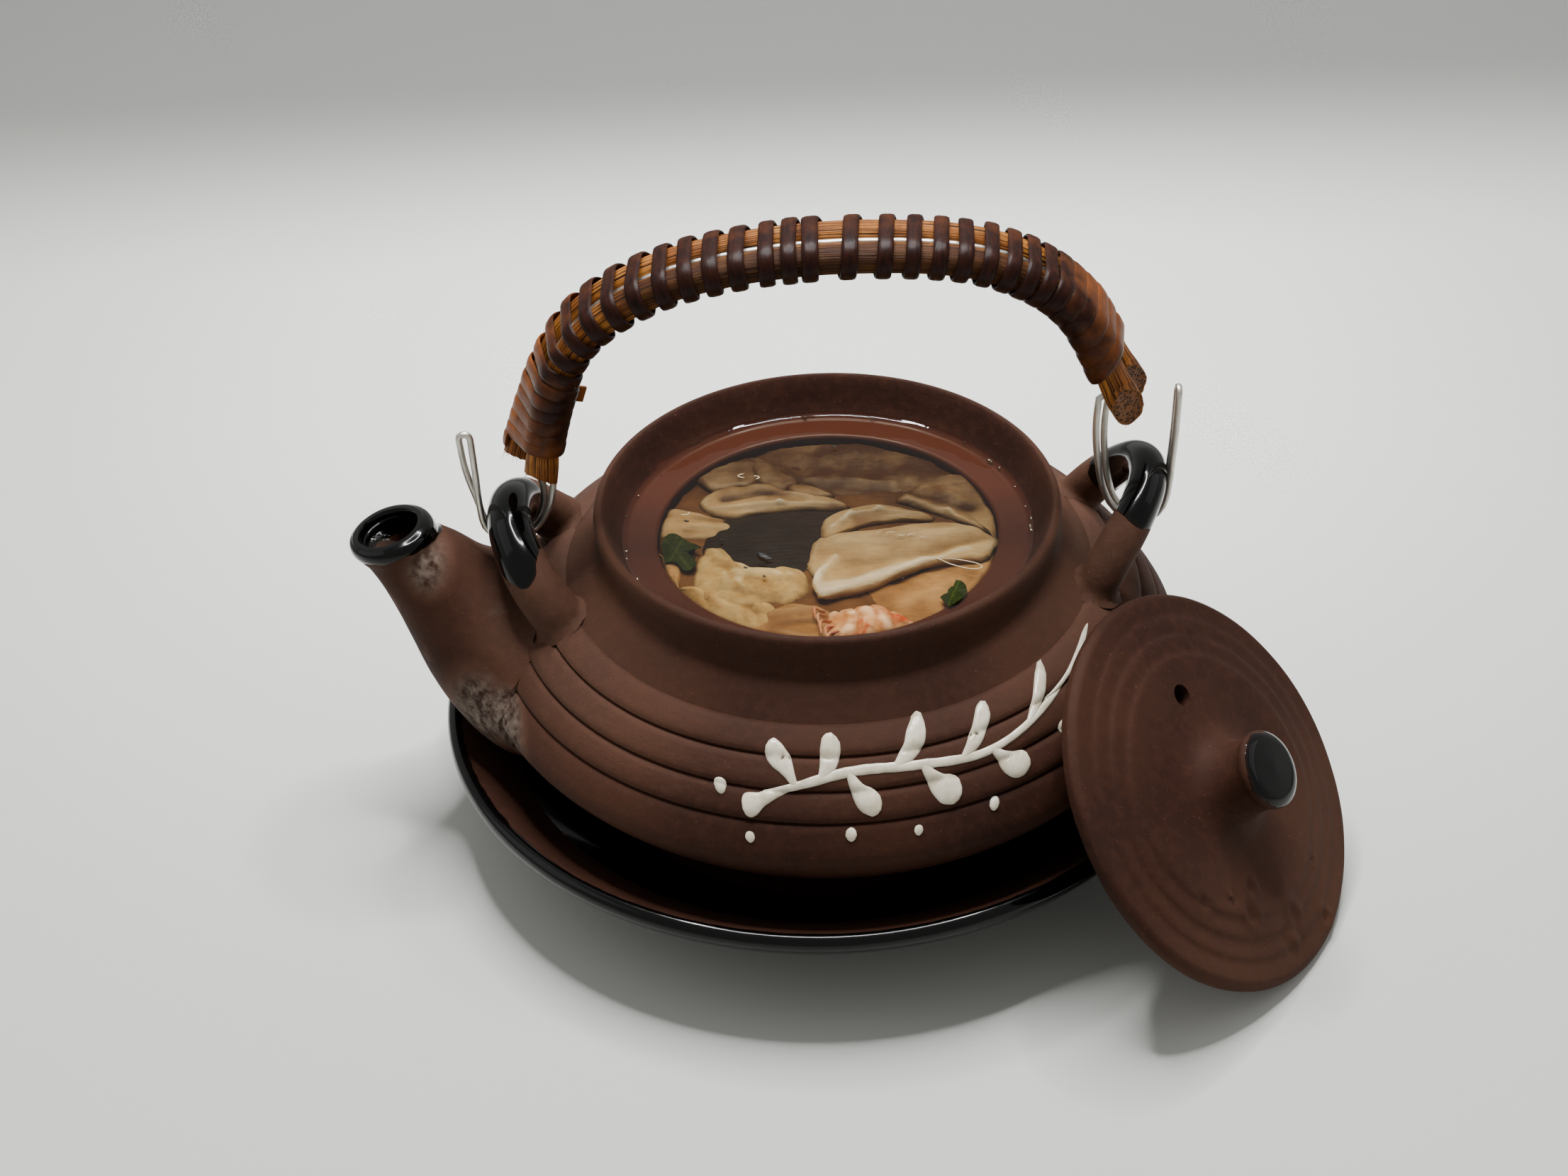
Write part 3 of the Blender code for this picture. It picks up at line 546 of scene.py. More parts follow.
def makePot(shape, marks):
    # body, spout and ears become one skin, then the hollow and the spout's bore are cut
    body = looseMesh("potTool", spunShell(potOutline(shape), shape["steps"]))
    tools = [("UNION", makeSpout(spoutShape)), ("UNION", makeEar(earShape, earShape["left"])),
             ("UNION", makeEar(earShape, earShape["right"])),
             ("DIFFERENCE", looseMesh("hollowTool", spunShell([Vector(p) for p in shape["plug"]], shape["steps"]))),
             ("DIFFERENCE", makeBore(spoutShape))]
    bm = carved(body, tools)
    obj = ridesWith("potBody", bm, claySurface, "pot_on_saucer", ["pot"], sharp=38)
    lip, tilt = Vector(marks["lip"]), math.radians(marks["lipTilt"])
    lipWay = Vector((-math.sin(tilt), 0, math.cos(tilt)))

    def glaze(co):
        if co.x < -62 and (Vector((co.x, 0, co.z)) - lip).length < marks["lipReach"]:
            return (co - lip).dot(lipWay) + spoutShape["glazeDeep"] + 0.2 * co.y
        return earGlaze(co)

    def lime(co):
        # pale dust on the shoulder, which also paints the light falling on its sides and upper band; bloom at the
        # spout's root, joint and neck and at one ear; scattered spots
        low, high = marks["dustAndSheenLeft" if co.x < 0 else "dustAndSheenRight"]
        # painted sheen: the dust is thickest on the lit sides and the upper band of the shoulder
        dustAndSheen = 0.12 * eased(16, 44, abs(co.x)) * eased(low, high, co.z) * eased(-64, -56, co.x)
        dustAndSheen = (dustAndSheen + 0.05 * eased(36, 43, co.z)) * eased(37, 40, math.hypot(co.x, co.y))
        if co.x > -36:
            return dustAndSheen
        root = 0.9 * bell(co.x + 60.5, 4.5) * bell(co.z - 24 - 0.35 * abs(co.y), 7.0)
        off = offBody(co) if co.z < 42 else 9.0
        joint = 0.9 * bell(off, 1.6) * eased(-50, -56, co.x) * eased(40, 34, co.z)
        neck = 0.6 * bell(co.x + 68, 3.5) * bell(co.z - 53, 4.0) * eased(4, -2, co.y)
        ear = 0.35 * bell((co - Vector(marks["earMark"])).length, 5.0)
        spots = 0.3 * eased(0.45, 0.62, wave(co, 4.5, 9.0)) * eased(-38, -58, co.x)
        return max(root, joint, neck, ear, spots, dustAndSheen)

    def wet(co):
        inside = math.hypot(co.x, co.y) < marks["wetR"] and 9 < co.z < marks["wetTo"] + 0.4 * wave(co, 6, 2.0)
        return 1.0 if inside else 0.0

    markClay(obj, glaze, lime, wet)


makePot(potShape, potMarks)
print("pot done")


# White slip trailed over the front of the belly: a thin arching sprig with drop-shaped leaves and dots,
# chalky white with faint grey clouds and a soft shine

slipLook = {"white": "#cfc7b4", "shade": "#b5aa93", "cloudSize": 2.5, "dullness": 0.22}
# x and height on the wall; leaves run from stalk to tip and end with their half width
sprigShape = {"relief": 0.5, "root": 0.35, "stalk": 0.28,
              "stem": [(-15.5, 38.4), (-8.0, 41.4), (2.0, 43.4), (13.0, 43.2), (24.0, 42.6), (34.0, 44.2),
                       (42.5, 47.2)], "stemWide": 0.62,
              "leaves": [(-7.0, 41.8, -11.5, 46.0, 1.5), (-3.0, 42.6, -1.0, 47.4, 1.7), (1.5, 43.3, 6.5, 38.6, 1.6),
                         (9.0, 43.4, 13.5, 47.9, 1.5), (13.5, 43.1, 19.5, 38.6, 1.7), (20.0, 42.8, 24.0, 47.4, 1.4),
                         (25.0, 42.6, 31.0, 39.0, 1.4), (31.0, 43.5, 33.8, 47.8, 1.1)],
              "dots": [(-19.0, 40.6, 1.0), (-14.5, 34.6, 0.75), (1.6, 35.4, 0.9), (12.4, 35.0, 0.7),
                       (24.8, 35.8, 0.8), (36.8, 41.0, 0.8), (40.6, 43.4, 0.6)]}


def whiteSlip(look):
    material, add, shader, place = blankMaterial("trailedWhiteSlip")
    clouds = add("TexNoise", {"Vector": place, "Scale": 1000 / look["cloudSize"], "Detail": 3.0})
    tone = add("MapRange", {"Value": clouds, 1: 0.35, 2: 0.62})
    colour = add("Mix", {0: tone, 6: paint(look["shade"]), 7: paint(look["white"])}, data_type="RGBA")
    relief = add("Bump", {"Height": clouds, "Distance": 0.12 * mm, "Strength": 1.0})
    feed(shader, {"Base Color": colour, "Normal": relief, "Roughness": look["dullness"]})
    return material


slipSurface = whiteSlip(slipLook)


def bridged(line, reach):
    # the wall's line with its creases half filled, as thick slip lies over them
    smooth = [line[0]]
    for before, spot, after in zip(line, line[1:], line[2:]):
        near = [p for p in line if (p - spot).length < reach]
        out = sideOf(before, after)
        gain = (sum(near, Vector((0, 0))) / len(near) - spot).dot(out)
        smooth.append(spot + out * max(0.0, gain))
    return smooth + [line[-1]]


slipLine = []
for start, end in zip(outerLine, outerLine[1:]):
    if 30 < start.y < 53:
        parts = math.ceil((end - start).length / 0.25)
        slipLine += [start.lerp(end, step / parts) for step in range(parts)]
slipLine = bridged(bridged(slipLine, 1.1), 0.8)


def bellyPlace(x, z, lift):
    # a point of the outer wall at that x and height, raised off it
    a, b = next(pair for pair in zip(slipLine, slipLine[1:]) if pair[0].y >= z > pair[1].y)
    far = a.x + (b.x - a.x) * (a.y - z) / (a.y - b.y)
    out = sideOf(a, b)
    around = math.asin(clamped(x / far, -1.0))
    return Vector((math.sin(around) * (far + out.x * lift), -math.cos(around) * (far + out.x * lift),
                   z + out.y * lift))


def trailedStroke(points, wideAt, shape):
    # a low dome of slip laid along the points, closed underneath inside the wall
    path = throughPoints(points, 0.45)[0]
    count = len(path) - 1

    def skin(u, v):
        low = min(int(v * count), count - 1)
        here, ahead = path[low], path[low + 1]
        spot = here.lerp(ahead, v * count - low)
        way = (ahead - here).normalized()
        wide = wideAt(v) * (1 + 0.10 * noise(Vector((spot.x * 0.6, spot.y * 0.6, 3.0))))
        off, rise = math.cos(u * math.tau) * wide, math.sin(u * math.tau)
        lift = (shape["relief"] * min(1.0, 0.35 + wide / 1.6) if rise > 0 else shape["root"]) * rise
        return bellyPlace(spot.x - way.y * off, spot.y + way.x * off, lift)
    return wrappedTube(18, max(10, count * 2), skin)


def makeSprig(shape):
    def stemWide(v):
        # a blob at the root, then thinner towards the tip, with rounded ends
        root = math.sqrt(max(0.004, 1 - (1 - min(1, v / 0.02)) ** 2))
        tip = math.sqrt(max(0.004, min(1.0, (1 - v) / 0.02)))
        return shape["stemWide"] * (1.0 + 1.6 * bell(v, 0.05) - 0.35 * v) * root * tip

    def leafWide(v):
        # a drop, fullest near its tip
        full = math.sin(math.pi * min(1.0, v * 0.62 + 0.16) ** 1.3) ** 1.6 * math.sqrt(clamped((1 - v) / 0.12))
        return shape["stalk"] + (wide - shape["stalk"]) * full - 0.27 * (v > 0.999)

    def dotWide(v):
        return wide * math.sqrt(max(0.002, 1 - (2 * v - 1) ** 2))

    strokes = [trailedStroke(shape["stem"], stemWide, shape)]
    for x0, z0, x1, z1, wide in shape["leaves"]:
        bend = ((x0 + x1) / 2 + (z1 - z0) * 0.10, (z0 + z1) / 2 - (x1 - x0) * 0.10)
        strokes.append(trailedStroke([(x0, z0), bend, (x1, z1)], leafWide, shape))
    for x, z, wide in shape["dots"]:
        strokes.append(trailedStroke([(x - wide, z), (x, z + 0.1), (x + wide, z)], dotWide, shape))
    ridesWith("slipSprig", joined(strokes), slipSurface, "pot_on_saucer", sharp=70)


makeSprig(sprigShape)
print("sprig done")


# Lid, leaning on the pot; its own middle is the axis, and dents are x, y, size and depth

lidShape = {"normal": (0.672, -0.380, 0.636), "centre": (62.3, -40.5), "steps": 256, "ventR": 1.9,
            "ventAt": (4.6, 15.6), "knobR": 6.35, "knobGlazeZ": 10.8, "lime": 0.008, "lowPaling": 0.08,
            "lumps": (0.10, 9, 4.0), "oval": (0.25, 0.22),
            "profile": [(0, 12.8), (5.7, 12.5, 1.0), (6.9, 11.3, 0.9), (6.1, 9.5, 1.2), (6.3, 6.2, 2),
                        (7.4, 3.8, 1.5), (9.6, 2.4, 2), (13.0, 1.9, 3), (22.2, 1.55, 1.2), (23.1, 1.05, 0.9),
                        (25.6, 0.9, 1.0), (26.5, 0.40, 0.8), (28.9, 0.3, 1.0), (29.8, -0.1, 0.7),
                        (33.0, -0.2, 0.6), (34.0, -1.2, 0.7), (33.5, -3.0, 0.5), (32.8, -3.3, 0.4),
                        (27.6, -3.3, 0.5), (27.1, -7.0, 0.6), (24.4, -7.0, 0.6), (23.8, -2.4, 0.8), (0, -1.9)],
            "dents": [(-9.5, -14.5, 0.9, 0.5), (-14.8, -12.2, 0.7, -0.4), (-13.0, -17.5, 1.2, 0.45),
                      (-3.4, -24.6, 1.1, 0.5), (-6.5, -27.5, 1.4, -0.45), (8.5, -22.0, 0.6, 0.3),
                      (-20.5, -9.0, 1.0, 0.35), (16.5, 19.0, 1.2, 0.3), (4.0, -30.8, 0.9, 0.5)]}


def lidPlace(shape):
    # leaning so that its axis is the normal and its lowest edge stands on the floor
    normal = Vector(shape["normal"]).normalized()
    level = Vector((0, 0, 1)).cross(normal).normalized()
    upward = normal.cross(level)
    turn = Matrix((level, upward, normal)).transposed()
    lowest = min((turn @ Vector((0, -p[0], p[1]))).z for p in shape["profile"])
    return Matrix.LocRotScale(Vector((*shape["centre"], -lowest)) * mm, turn.to_quaternion(), None)


def makeLid(shape):
    # dented and warped as thrown, then drilled for the vent
    bm = spunShell(filled(softened(shape["profile"], 0.6), 0.9), shape["steps"])
    high, lumpSize, seed = shape["lumps"]
    for vert in bm.verts:
        co = vert.co / mm
        far = co.to_2d().length
        sink = 0.0
        for x, y, size, deep in shape["dents"] if co.z > -1.5 else ():
            # a pit or a blister with a low ring round it
            gap = math.hypot(co.x - x, (co.y - y) * 0.7) / size
            if gap < 3:
                sink += deep * (math.exp(-gap * gap * 1.5) - 0.5 * math.exp(-(gap - 1.5) ** 2 * 3))
        vert.co.z += (high * wave(co, lumpSize, seed) * eased(8, 14, far) - sink) * mm
        if far > 20 and co.z > -1:
            # thrown rings are never quite round
            around = math.atan2(co.y, co.x)
            vert.co.x += shape["oval"][0] * mm * math.cos(3 * around + 0.7)
            vert.co.y += shape["oval"][1] * mm * math.sin(2 * around)
    drill = bmesh.new()
    bmesh.ops.create_cone(drill, cap_ends=True, segments=48, radius1=shape["ventR"] * mm,
                          radius2=shape["ventR"] * mm, depth=20 * mm)
    bmesh.ops.translate(drill, verts=drill.verts, vec=Vector((*shape["ventAt"], 0)) * mm)
    bm = carved(looseMesh("lidTool", bm), [("DIFFERENCE", looseMesh("ventTool", drill))])
    place = lidPlace(shape)
    back = place.inverted()
    bmesh.ops.transform(bm, matrix=place, verts=bm.verts)
    obj = ridesWith("leaningLid", bm, claySurface, "pot_on_saucer", ["lid"], sharp=42)

    def glaze(co):
        own = back @ (co * mm) / mm
        return shape["knobR"] - own.to_2d().length if own.z > shape["knobGlazeZ"] else -5.0

    # an even lime bloom, and paler towards the lid's lower edge
    markClay(obj, glaze, lambda co: shape["lime"] + shape["lowPaling"] * eased(30, 10, co.z))


makeLid(lidShape)
print("lid done")


# Bail handle: two bamboo canes side by side, a doubled steel wire between them, one rattan strip

handleShape = {"axisY": 2.5, "leftTwist": 35, "rightTwist": 10, "twistShare": 0.30, "apart": 3.45,
               "path": [(-50.2, 64.6), (-47.2, 77.0), (-41.9, 91.0), (-33.6, 99.1), (-20.8, 104.6), (-1.7, 107.5),
                        (19.6, 106.8), (32.8, 102.8), (42.0, 94.9), (48.9, 81.0), (51.5, 76.2)]}
spinePlaces, spineLong = throughPoints(handleShape["path"], 0.5)


def spineAt(far):
    place = clamped(far, 0.0, spineLong) / spineLong * (len(spinePlaces) - 1)
    low = min(int(place), len(spinePlaces) - 2)
    return spinePlaces[low].lerp(spinePlaces[low + 1], place - low)


def spineSection(far):
    # middle of the pair of canes there, and the ways across the pair, outward and along
    along = (spineAt(far + 1.5) - spineAt(far - 1.5)).normalized()
    share, ends = far / spineLong, handleShape["twistShare"]
    twist = math.radians(handleShape["leftTwist"] * max(0.0, 1 - share / ends) ** 1.5
                         + handleShape["rightTwist"] * max(0.0, (share - 1 + ends) / ends))
    middle = spineAt(far)
    out = Vector((-along.y, 0, along.x))
    side = Vector((0, 1, 0))
    return (Vector((middle.x, handleShape["axisY"], middle.y)), side * math.cos(twist) + out * math.sin(twist),
            out * math.cos(twist) - side * math.sin(twist), Vector((along.x, 0, along.y)))


# Split bamboo cane, heat-bent and oiled: golden brown, long straight fibres with dark pores between them

caneLook = {"pale": "#c08038", "gold": "#864e20", "dark": "#170801", "endDark": "#1d0d04", "endPale": "#70421a",
            "paintedShade": "#1f0d05", "girth": 16.0, "fibre": 0.26, "long": 26.0, "broad": 5.0, "pore": 0.62,
            "dullness": 0.55, "sheen": 0.14}


def bambooCane(look):
    material, add, shader, place = blankMaterial("oiledBambooCane")
    unrolled = add("UVMap", {}, uv_map="UVMap")
    fibres = (look["girth"] / look["fibre"], spineLong / look["long"], 1.0)
    sized = add("Mapping", {"Vector": unrolled, "Scale": fibres})
    fibre = add("TexNoise", {"Vector": sized, "Scale": 1.0, "Detail": 3.0, "Roughness": 0.6})
    broad = add("TexNoise", {"Vector": place, "Scale": 1000 / look["broad"], "Detail": 2.0})
    pores = add("TexVoronoi", {"Vector": place, "Scale": 1000 / look["pore"]})
    paintedShade, cutEnd = (add("Attribute", {}, out="Fac", attribute_name=name) for name in ("paintedShade", "cutEnd"))
    tone = add("MapRange", {"Value": fibre, 1: 0.40, 2: 0.55})
    light = add("MapRange", {"Value": broad, 1: 0.42, 2: 0.7, 4: 0.7})
    light = add("Math", {0: light, 1: tone}, operation="MULTIPLY")
    pit = add("MapRange", {"Value": pores, 1: 0.28, 2: 0.50})
    grainEnd = add("Mix", {0: pit, 6: paint(look["endDark"]), 7: paint(look["endPale"])}, data_type="RGBA")
    colour = paint(look["dark"])
    # the darkest tone is painted shade on the front cane
    for share, over in ((tone, paint(look["gold"])), (light, paint(look["pale"])), (paintedShade, paint(look["paintedShade"])),
                        (cutEnd, grainEnd)):
        colour = add("Mix", {0: share, 6: colour, 7: over}, data_type="RGBA")
    height = add("Mix", {0: cutEnd, 2: fibre, 3: pit})
    relief = add("Bump", {"Height": height, "Distance": 0.25 * mm, "Strength": 1.0})
    feed(shader, {"Base Color": colour, "Normal": relief, "Roughness": look["dullness"],
                  "Specular IOR Level": look["sheen"]})
    return material


caneSurface = bambooCane(caneLook)
# saw gives the normals of the left and right cuts, short what is missing of each cane at its left and right
caneShape = {"radius": 2.55, "around": 32, "along": 300, "flare": 0.14, "sawReach": 6.5, "rag": 0.4, "ragReach": 1.2,
             "saw": [(-0.40, -0.42, -0.82), (0.50, -0.81, -0.30)], "paintedShade": 0.84, "paintedShadeZ": (97, 104),
             "short": {"frontCane": (2.6, 1.6), "backCane": (2.3, 1.2)}}


def makeCane(shape, name, node, side, seed):
    # a slightly flared rod, sawn off at a slant and ragged at both ends
    low, high = shape["short"][name]

    def skin(u, v):
        far = low + v * (spineLong - low - high)
        middle, across, out, along = spineSection(far)
        angle = u * math.tau
        end = min(far - low, spineLong - high - far)
        thick = shape["radius"] * (1 + 0.012 * math.sin(5 * angle + seed) + 0.02 * wave(middle, 7, seed))
        thick *= 1 + shape["flare"] * eased(8, 2, end)
        off = (across * math.cos(angle) + out * math.sin(angle)) * thick
        rag = shape["rag"] * wave(Vector((math.cos(angle) * 4, math.sin(angle) * 4, seed)), 1.0, seed)
        right = far > spineLong / 2
        saw = Vector(shape["saw"][right])
        slant = -off.dot(saw) / along.dot(saw) * eased(shape["sawReach"], 0.0, end)
        push = (1 if right else -1) * rag * max(0.0, 1 - end / shape["ragReach"])
        return middle + across * handleShape["apart"] * side + off + along * (push + slant)

    bm = wrappedTube(shape["around"], shape["along"], skin)
    caps = [face for face in bm.faces if len(face.verts) > 4]
    bmesh.ops.inset_individual(bm, faces=caps, thickness=0.25 * mm, depth=-0.10 * mm)
    mark = bm.verts.layers.float.new("cutEnd")
    for face in caps:
        for vert in face.verts:
            vert[mark] = 1.0
    obj = ridesWith(name, bm, caneSurface, "bail_handle", [node], sharp=40)
    # painted shade on the front cane, along the top of the arch
    giveAttribute(obj, "paintedShade", lambda co: shape["paintedShade"] * eased(1.0, -1.5, co.y + 0.6 * wave(co, 9, seed))
                  * eased(*shape["paintedShadeZ"], co.z))


makeCane(caneShape, "frontCane", "cane_front", -1, 1.3)
makeCane(caneShape, "backCane", "cane_back", 1, 4.1)


# Loose fibres standing off the sawn ends, a few of them longer

fibreShape = {"count": 44, "long": (0.4, 1.1), "common": 0.85, "longer": 1.9, "thick": 0.07, "tip": 0.012}


def makeFibres(shape):
    # thin cones round each cut, leaning every way
    bm = bmesh.new()
    for far, way in ((0.0, -1), (spineLong, 1)):
        for side, name in ((-1, "frontCane"), (1, "backCane")):
            middle, across, out, along = spineSection(far - way * caneShape["short"][name][way > 0])
            saw = Vector(caneShape["saw"][way > 0])
            for number in range(shape["count"]):
                angle = rng.uniform(0, math.tau)
                long = rng.uniform(*shape["long"]) * (1.0 if rng.random() < shape["common"] else shape["longer"])
                spread = across * math.cos(angle) + out * math.sin(angle)
                off = spread * caneShape["radius"] * rng.uniform(0.86, 1.12)
                foot = (middle + across * handleShape["apart"] * side + off
                        - along * (off.dot(saw) / along.dot(saw) + way * 0.3))
                lean = (along * way + spread * rng.uniform(-0.2, 0.55)
                        + across.cross(spread) * rng.uniform(-0.3, 0.3)).normalized()
                made = bmesh.ops.create_cone(bm, cap_ends=True, segments=5, radius1=shape["thick"] * mm,
                                             radius2=shape["tip"] * mm, depth=long * mm)
                turn = Vector((0, 0, 1)).rotation_difference(lean).to_matrix().to_4x4()
                turn.translation = (foot + lean * long * 0.5) * mm
                bmesh.ops.transform(bm, matrix=turn, verts=made["verts"])
    obj = ridesWith("caneEndFibres", bm, caneSurface, "bail_handle")
    for name in ("cutEnd", "paintedShade"):
        giveAttribute(obj, name, lambda co: 0.0)


makeFibres(fibreShape)


# Rattan peel, soaked, wound and dried: reddish brown, waxy, lighter where worn at both ends, with painted light on
# the back of each turn

stripLook = {"dark": "#0e0403", "brown": "#2a1008", "wornAndLit": "#80471f", "streaks": (14.0, 420.0, 1.0),
             "patch": 3.2, "dullness": 0.40, "sheen": 0.13}


def rattanPeel(look):
    material, add, shader, place = blankMaterial("waxedRattanPeel")
    unrolled = add("UVMap", {}, uv_map="UVMap")
    sized = add("Mapping", {"Vector": unrolled, "Scale": look["streaks"]})
    streak = add("TexNoise", {"Vector": sized, "Scale": 1.0, "Detail": 3.0, "Roughness": 0.6})
    patches = add("TexNoise", {"Vector": place, "Scale": 1000 / look["patch"], "Detail": 3.0})
    # the wear mark also carries painted light on the back of the winding
    wornAndLit = add("Attribute", {}, out="Fac", attribute_name="wearAndPaintedLight")
    mixed = add("Math", {0: patches, 1: 0.9, 2: 0.02}, operation="MULTIPLY_ADD")
    mixed = add("Math", {0: mixed, 1: wornAndLit}, operation="MULTIPLY")
    tone = add("MapRange", {"Value": streak, 1: 0.3, 2: 0.65})
    light = add("MapRange", {"Value": mixed, 1: 0.10, 2: 0.50, 4: 0.85})
    colour = paint(look["dark"])
    for share, over in ((tone, look["brown"]), (light, look["wornAndLit"])):
        colour = add("Mix", {0: share, 6: colour, 7: paint(over)}, data_type="RGBA")
    relief = add("Bump", {"Height": streak, "Distance": 0.10 * mm, "Strength": 1.0})
    feed(shader, {"Base Color": colour, "Normal": relief, "Roughness": look["dullness"],
                  "Specular IOR Level": look["sheen"]})
    return material


stripSurface = rattanPeel(stripLook)
# turns gives how far along the handle each turn of the winding starts
stripShape = {"width": 2.65, "thick": 0.60, "reach": 3.28, "around": 10, "perTurn": 34, "slant": 1.7, "swollen": 0.25,
              "cup": 0.10, "wearAndPaintedLight": 0.08, "backPaintedLight": 0.20, "leftWear": 0.55, "rightWear": 0.45,
              "turns": [7.0, 9.0, 11.2, 13.5, 15.9, 18.4, 21.1, 24.2, 28.2, 32.2, 36.2, 40.6, 45.0, 49.2, 53.2,
                        57.4, 61.6, 66.2, 69.8, 73.0, 79.6, 85.2, 89.6, 93.8, 97.6, 101.6, 105.2, 108.3, 111.3,
                        114.1, 117.0, 120.0, 123.0, 126.2, 129.4]}


def stadiumStation(share, reach):
    # one turn round both canes: place across and outward, and the way out from it
    apart = handleShape["apart"]
    arc = math.pi * reach
    half = arc + 2 * apart
    far = (share % 1.0) * 2 * half
    side = 1 if far < half else -1
    far %= half
    if far < arc:
        angle = math.pi / 2 - far / reach
        way = Vector((math.cos(angle), math.sin(angle))) * side
        return Vector((apart * side, 0)) + way * reach, way
    return Vector((apart - (far - arc), -reach)) * side, Vector((0, -side))


def makeStrip(shape):
    # one band wound round both canes; slack is each turn's lift, drift along the canes and width
    turns = shape["turns"]
    whole = len(turns) - 1
    slack = [(rng.uniform(-0.10, 0.16), rng.uniform(-0.25, 0.25), rng.uniform(0.93, 1.06)) for _ in turns]

    def skin(u, v):
        at = v * whole
        low = min(int(at), whole - 1)
        t = at - low
        far = turns[low] + (turns[low + 1] - turns[low]) * (0.35 * t + 0.65 * eased(0.0, 0.5, t))
        lift, drift, wide = (a + (b - a) * t for a, b in zip(slack[low], slack[low + 1]))
        reach = shape["reach"] + max(0.0, lift) + shape["swollen"] * eased(116, 130, far)
        place, way = stadiumStation(at, reach)
        # near both ends the turns lean over
        far -= shape["slant"] * (eased(36, 10, far) * place.x / 6.7 + eased(112, 130, far) * place.y / 3.3)
        middle, across, out, along = spineSection(far)
        centre = middle + across * place.x + out * place.y + along * drift * math.sin(at * math.tau)
        off = across * way.x + out * way.y
        angle = u * math.tau
        width = shape["width"] * wide / 2 * (1 + 0.12 * eased(24, 16, far) + 0.36 * eased(110, 120, far))
        a = math.copysign(abs(math.cos(angle)) ** 0.6, math.cos(angle)) * width
        b = math.copysign(abs(math.sin(angle)) ** 0.8, math.sin(angle)) * shape["thick"] / 2
        return centre + along * a + off * (b - shape["cup"] * (a / width) ** 2)

    def wearAndPaintedLight(co):
        # worn pale at both ends, with painted light on the back side of each turn
        left = eased(-40, -50, co.x + 4 * wave(co, 5, 2.0))
        right = eased(36, 47, co.x + 5 * wave(co, 6, 3.0))
        return min(1.0, shape["wearAndPaintedLight"] + shape["backPaintedLight"] * eased(-4, 6, co.y) + shape["leftWear"] * left
                   + shape["rightWear"] * right)

    bm = wrappedTube(shape["around"], shape["perTurn"] * whole, skin)
    obj = ridesWith("rattanWinding", bm, stripSurface, "bail_handle", ["rattan_strip"], sharp=60)
    giveAttribute(obj, "wearAndPaintedLight", wearAndPaintedLight)


makeStrip(stripShape)

# The strip's spare end: a stub that pokes out under the canes near the left end
stubShape = {"far": 17.0, "size": (5.0, 3.0, 0.6), "inward": 4.6, "aside": 1.2, "curl": 0.25, "ripple": 0.12,
             "rounding": 0.12, "wearAndPaintedLight": 0.8}


def makeStub(shape):
    bm = bmesh.new()
    bmesh.ops.create_cube(bm, size=1.0)
    bmesh.ops.scale(bm, verts=bm.verts, vec=Vector(shape["size"]) * mm)
    bmesh.ops.subdivide_edges(bm, edges=bm.edges, cuts=4, use_grid_fill=True)
    bmesh.ops.bevel(bm, geom=[e for e in bm.edges if e.calc_face_angle(0) > 1], offset=shape["rounding"] * mm,
                    segments=2, profile=0.5, affect="EDGES", material=-1)
    for vert in bm.verts:
        x = vert.co.x / mm
        vert.co.z += shape["curl"] * (x * 2 / shape["size"][0]) ** 2 * mm
        vert.co.y += shape["ripple"] * math.sin(x * 2) * mm
    middle, across, out, along = spineSection(shape["far"])
    place = Matrix((-out, along, across)).transposed().to_4x4()
    place.translation = (middle - out * shape["inward"] + across * shape["aside"]) * mm
    bmesh.ops.transform(bm, matrix=place, verts=bm.verts)
    obj = ridesWith("stripEndStub", bm, stripSurface, "bail_handle", sharp=50)
    giveAttribute(obj, "wearAndPaintedLight", lambda co: shape["wearAndPaintedLight"])


makeStub(stubShape)


# Stainless spring wire: bright, slightly brushed along its length

wireLook = {"steel": "#d2cdc4", "shade": "#a39e96", "mist": 2.2, "dullness": 0.40}


def drawnSteel(look):
    material, add, shader, place = blankMaterial("drawnStainlessWire")
    mist = add("TexNoise", {"Vector": place, "Scale": 1000 / look["mist"], "Detail": 3.0})
    rough = add("MapRange", {"Value": mist, 1: 0.3, 2: 0.7, 3: look["dullness"] - 0.08, 4: look["dullness"] + 0.10})
    shade = add("MapRange", {"Value": mist, 1: 0.3, 2: 0.7, 4: 0.35})
    colour = add("Mix", {0: shade, 6: paint(look["steel"]), 7: paint(look["shade"])}, data_type="RGBA")
    feed(shader, {"Base Color": colour, "Roughness": rough, "Metallic": 1.0})
    return material


wireSurface = drawnSteel(wireLook)
# hooks are x, y, z and how far the pair of wires has turned from along the hinge to across it
wireShape = {"radius": 0.6, "apart": 0.95, "inward": 1.4, "sink": 20.0, "fromEnd": 3.5, "bend": (0.6, 1.2, 1.9, 2.5),
             "left": [(-60.3, 2.5, 73.0, 1.0), (-59.9, 2.5, 66.8, 0.7), (-59.1, 2.5, 60.4, 0.2),
                      (-57.9, 2.5, 55.1, 0), (-54.0, 2.5, 52.8, 0), (-49.7, 2.5, 55.0, 0),
                      (-47.5, 2.6, 59.2, 0.3), (-47.0, 3.0, 63.2, 0.8)],
             "right": [(46.5, 2.6, 77.0, 0.7), (46.1, 2.5, 71.5, 0.6), (46.4, 2.5, 65.7, 0.5),
                       (47.4, 2.5, 59.4, 0.4), (49.3, 2.5, 55.0, 0.2), (52.6, 2.5, 52.7, 0),
                       (56.0, 2.5, 53.4, 0), (57.7, 2.5, 57.0, 0), (58.4, 2.5, 65.2, 0), (58.7, 2.5, 71.0, 0),
                       (58.9, 2.5, 77.6, 0)]}


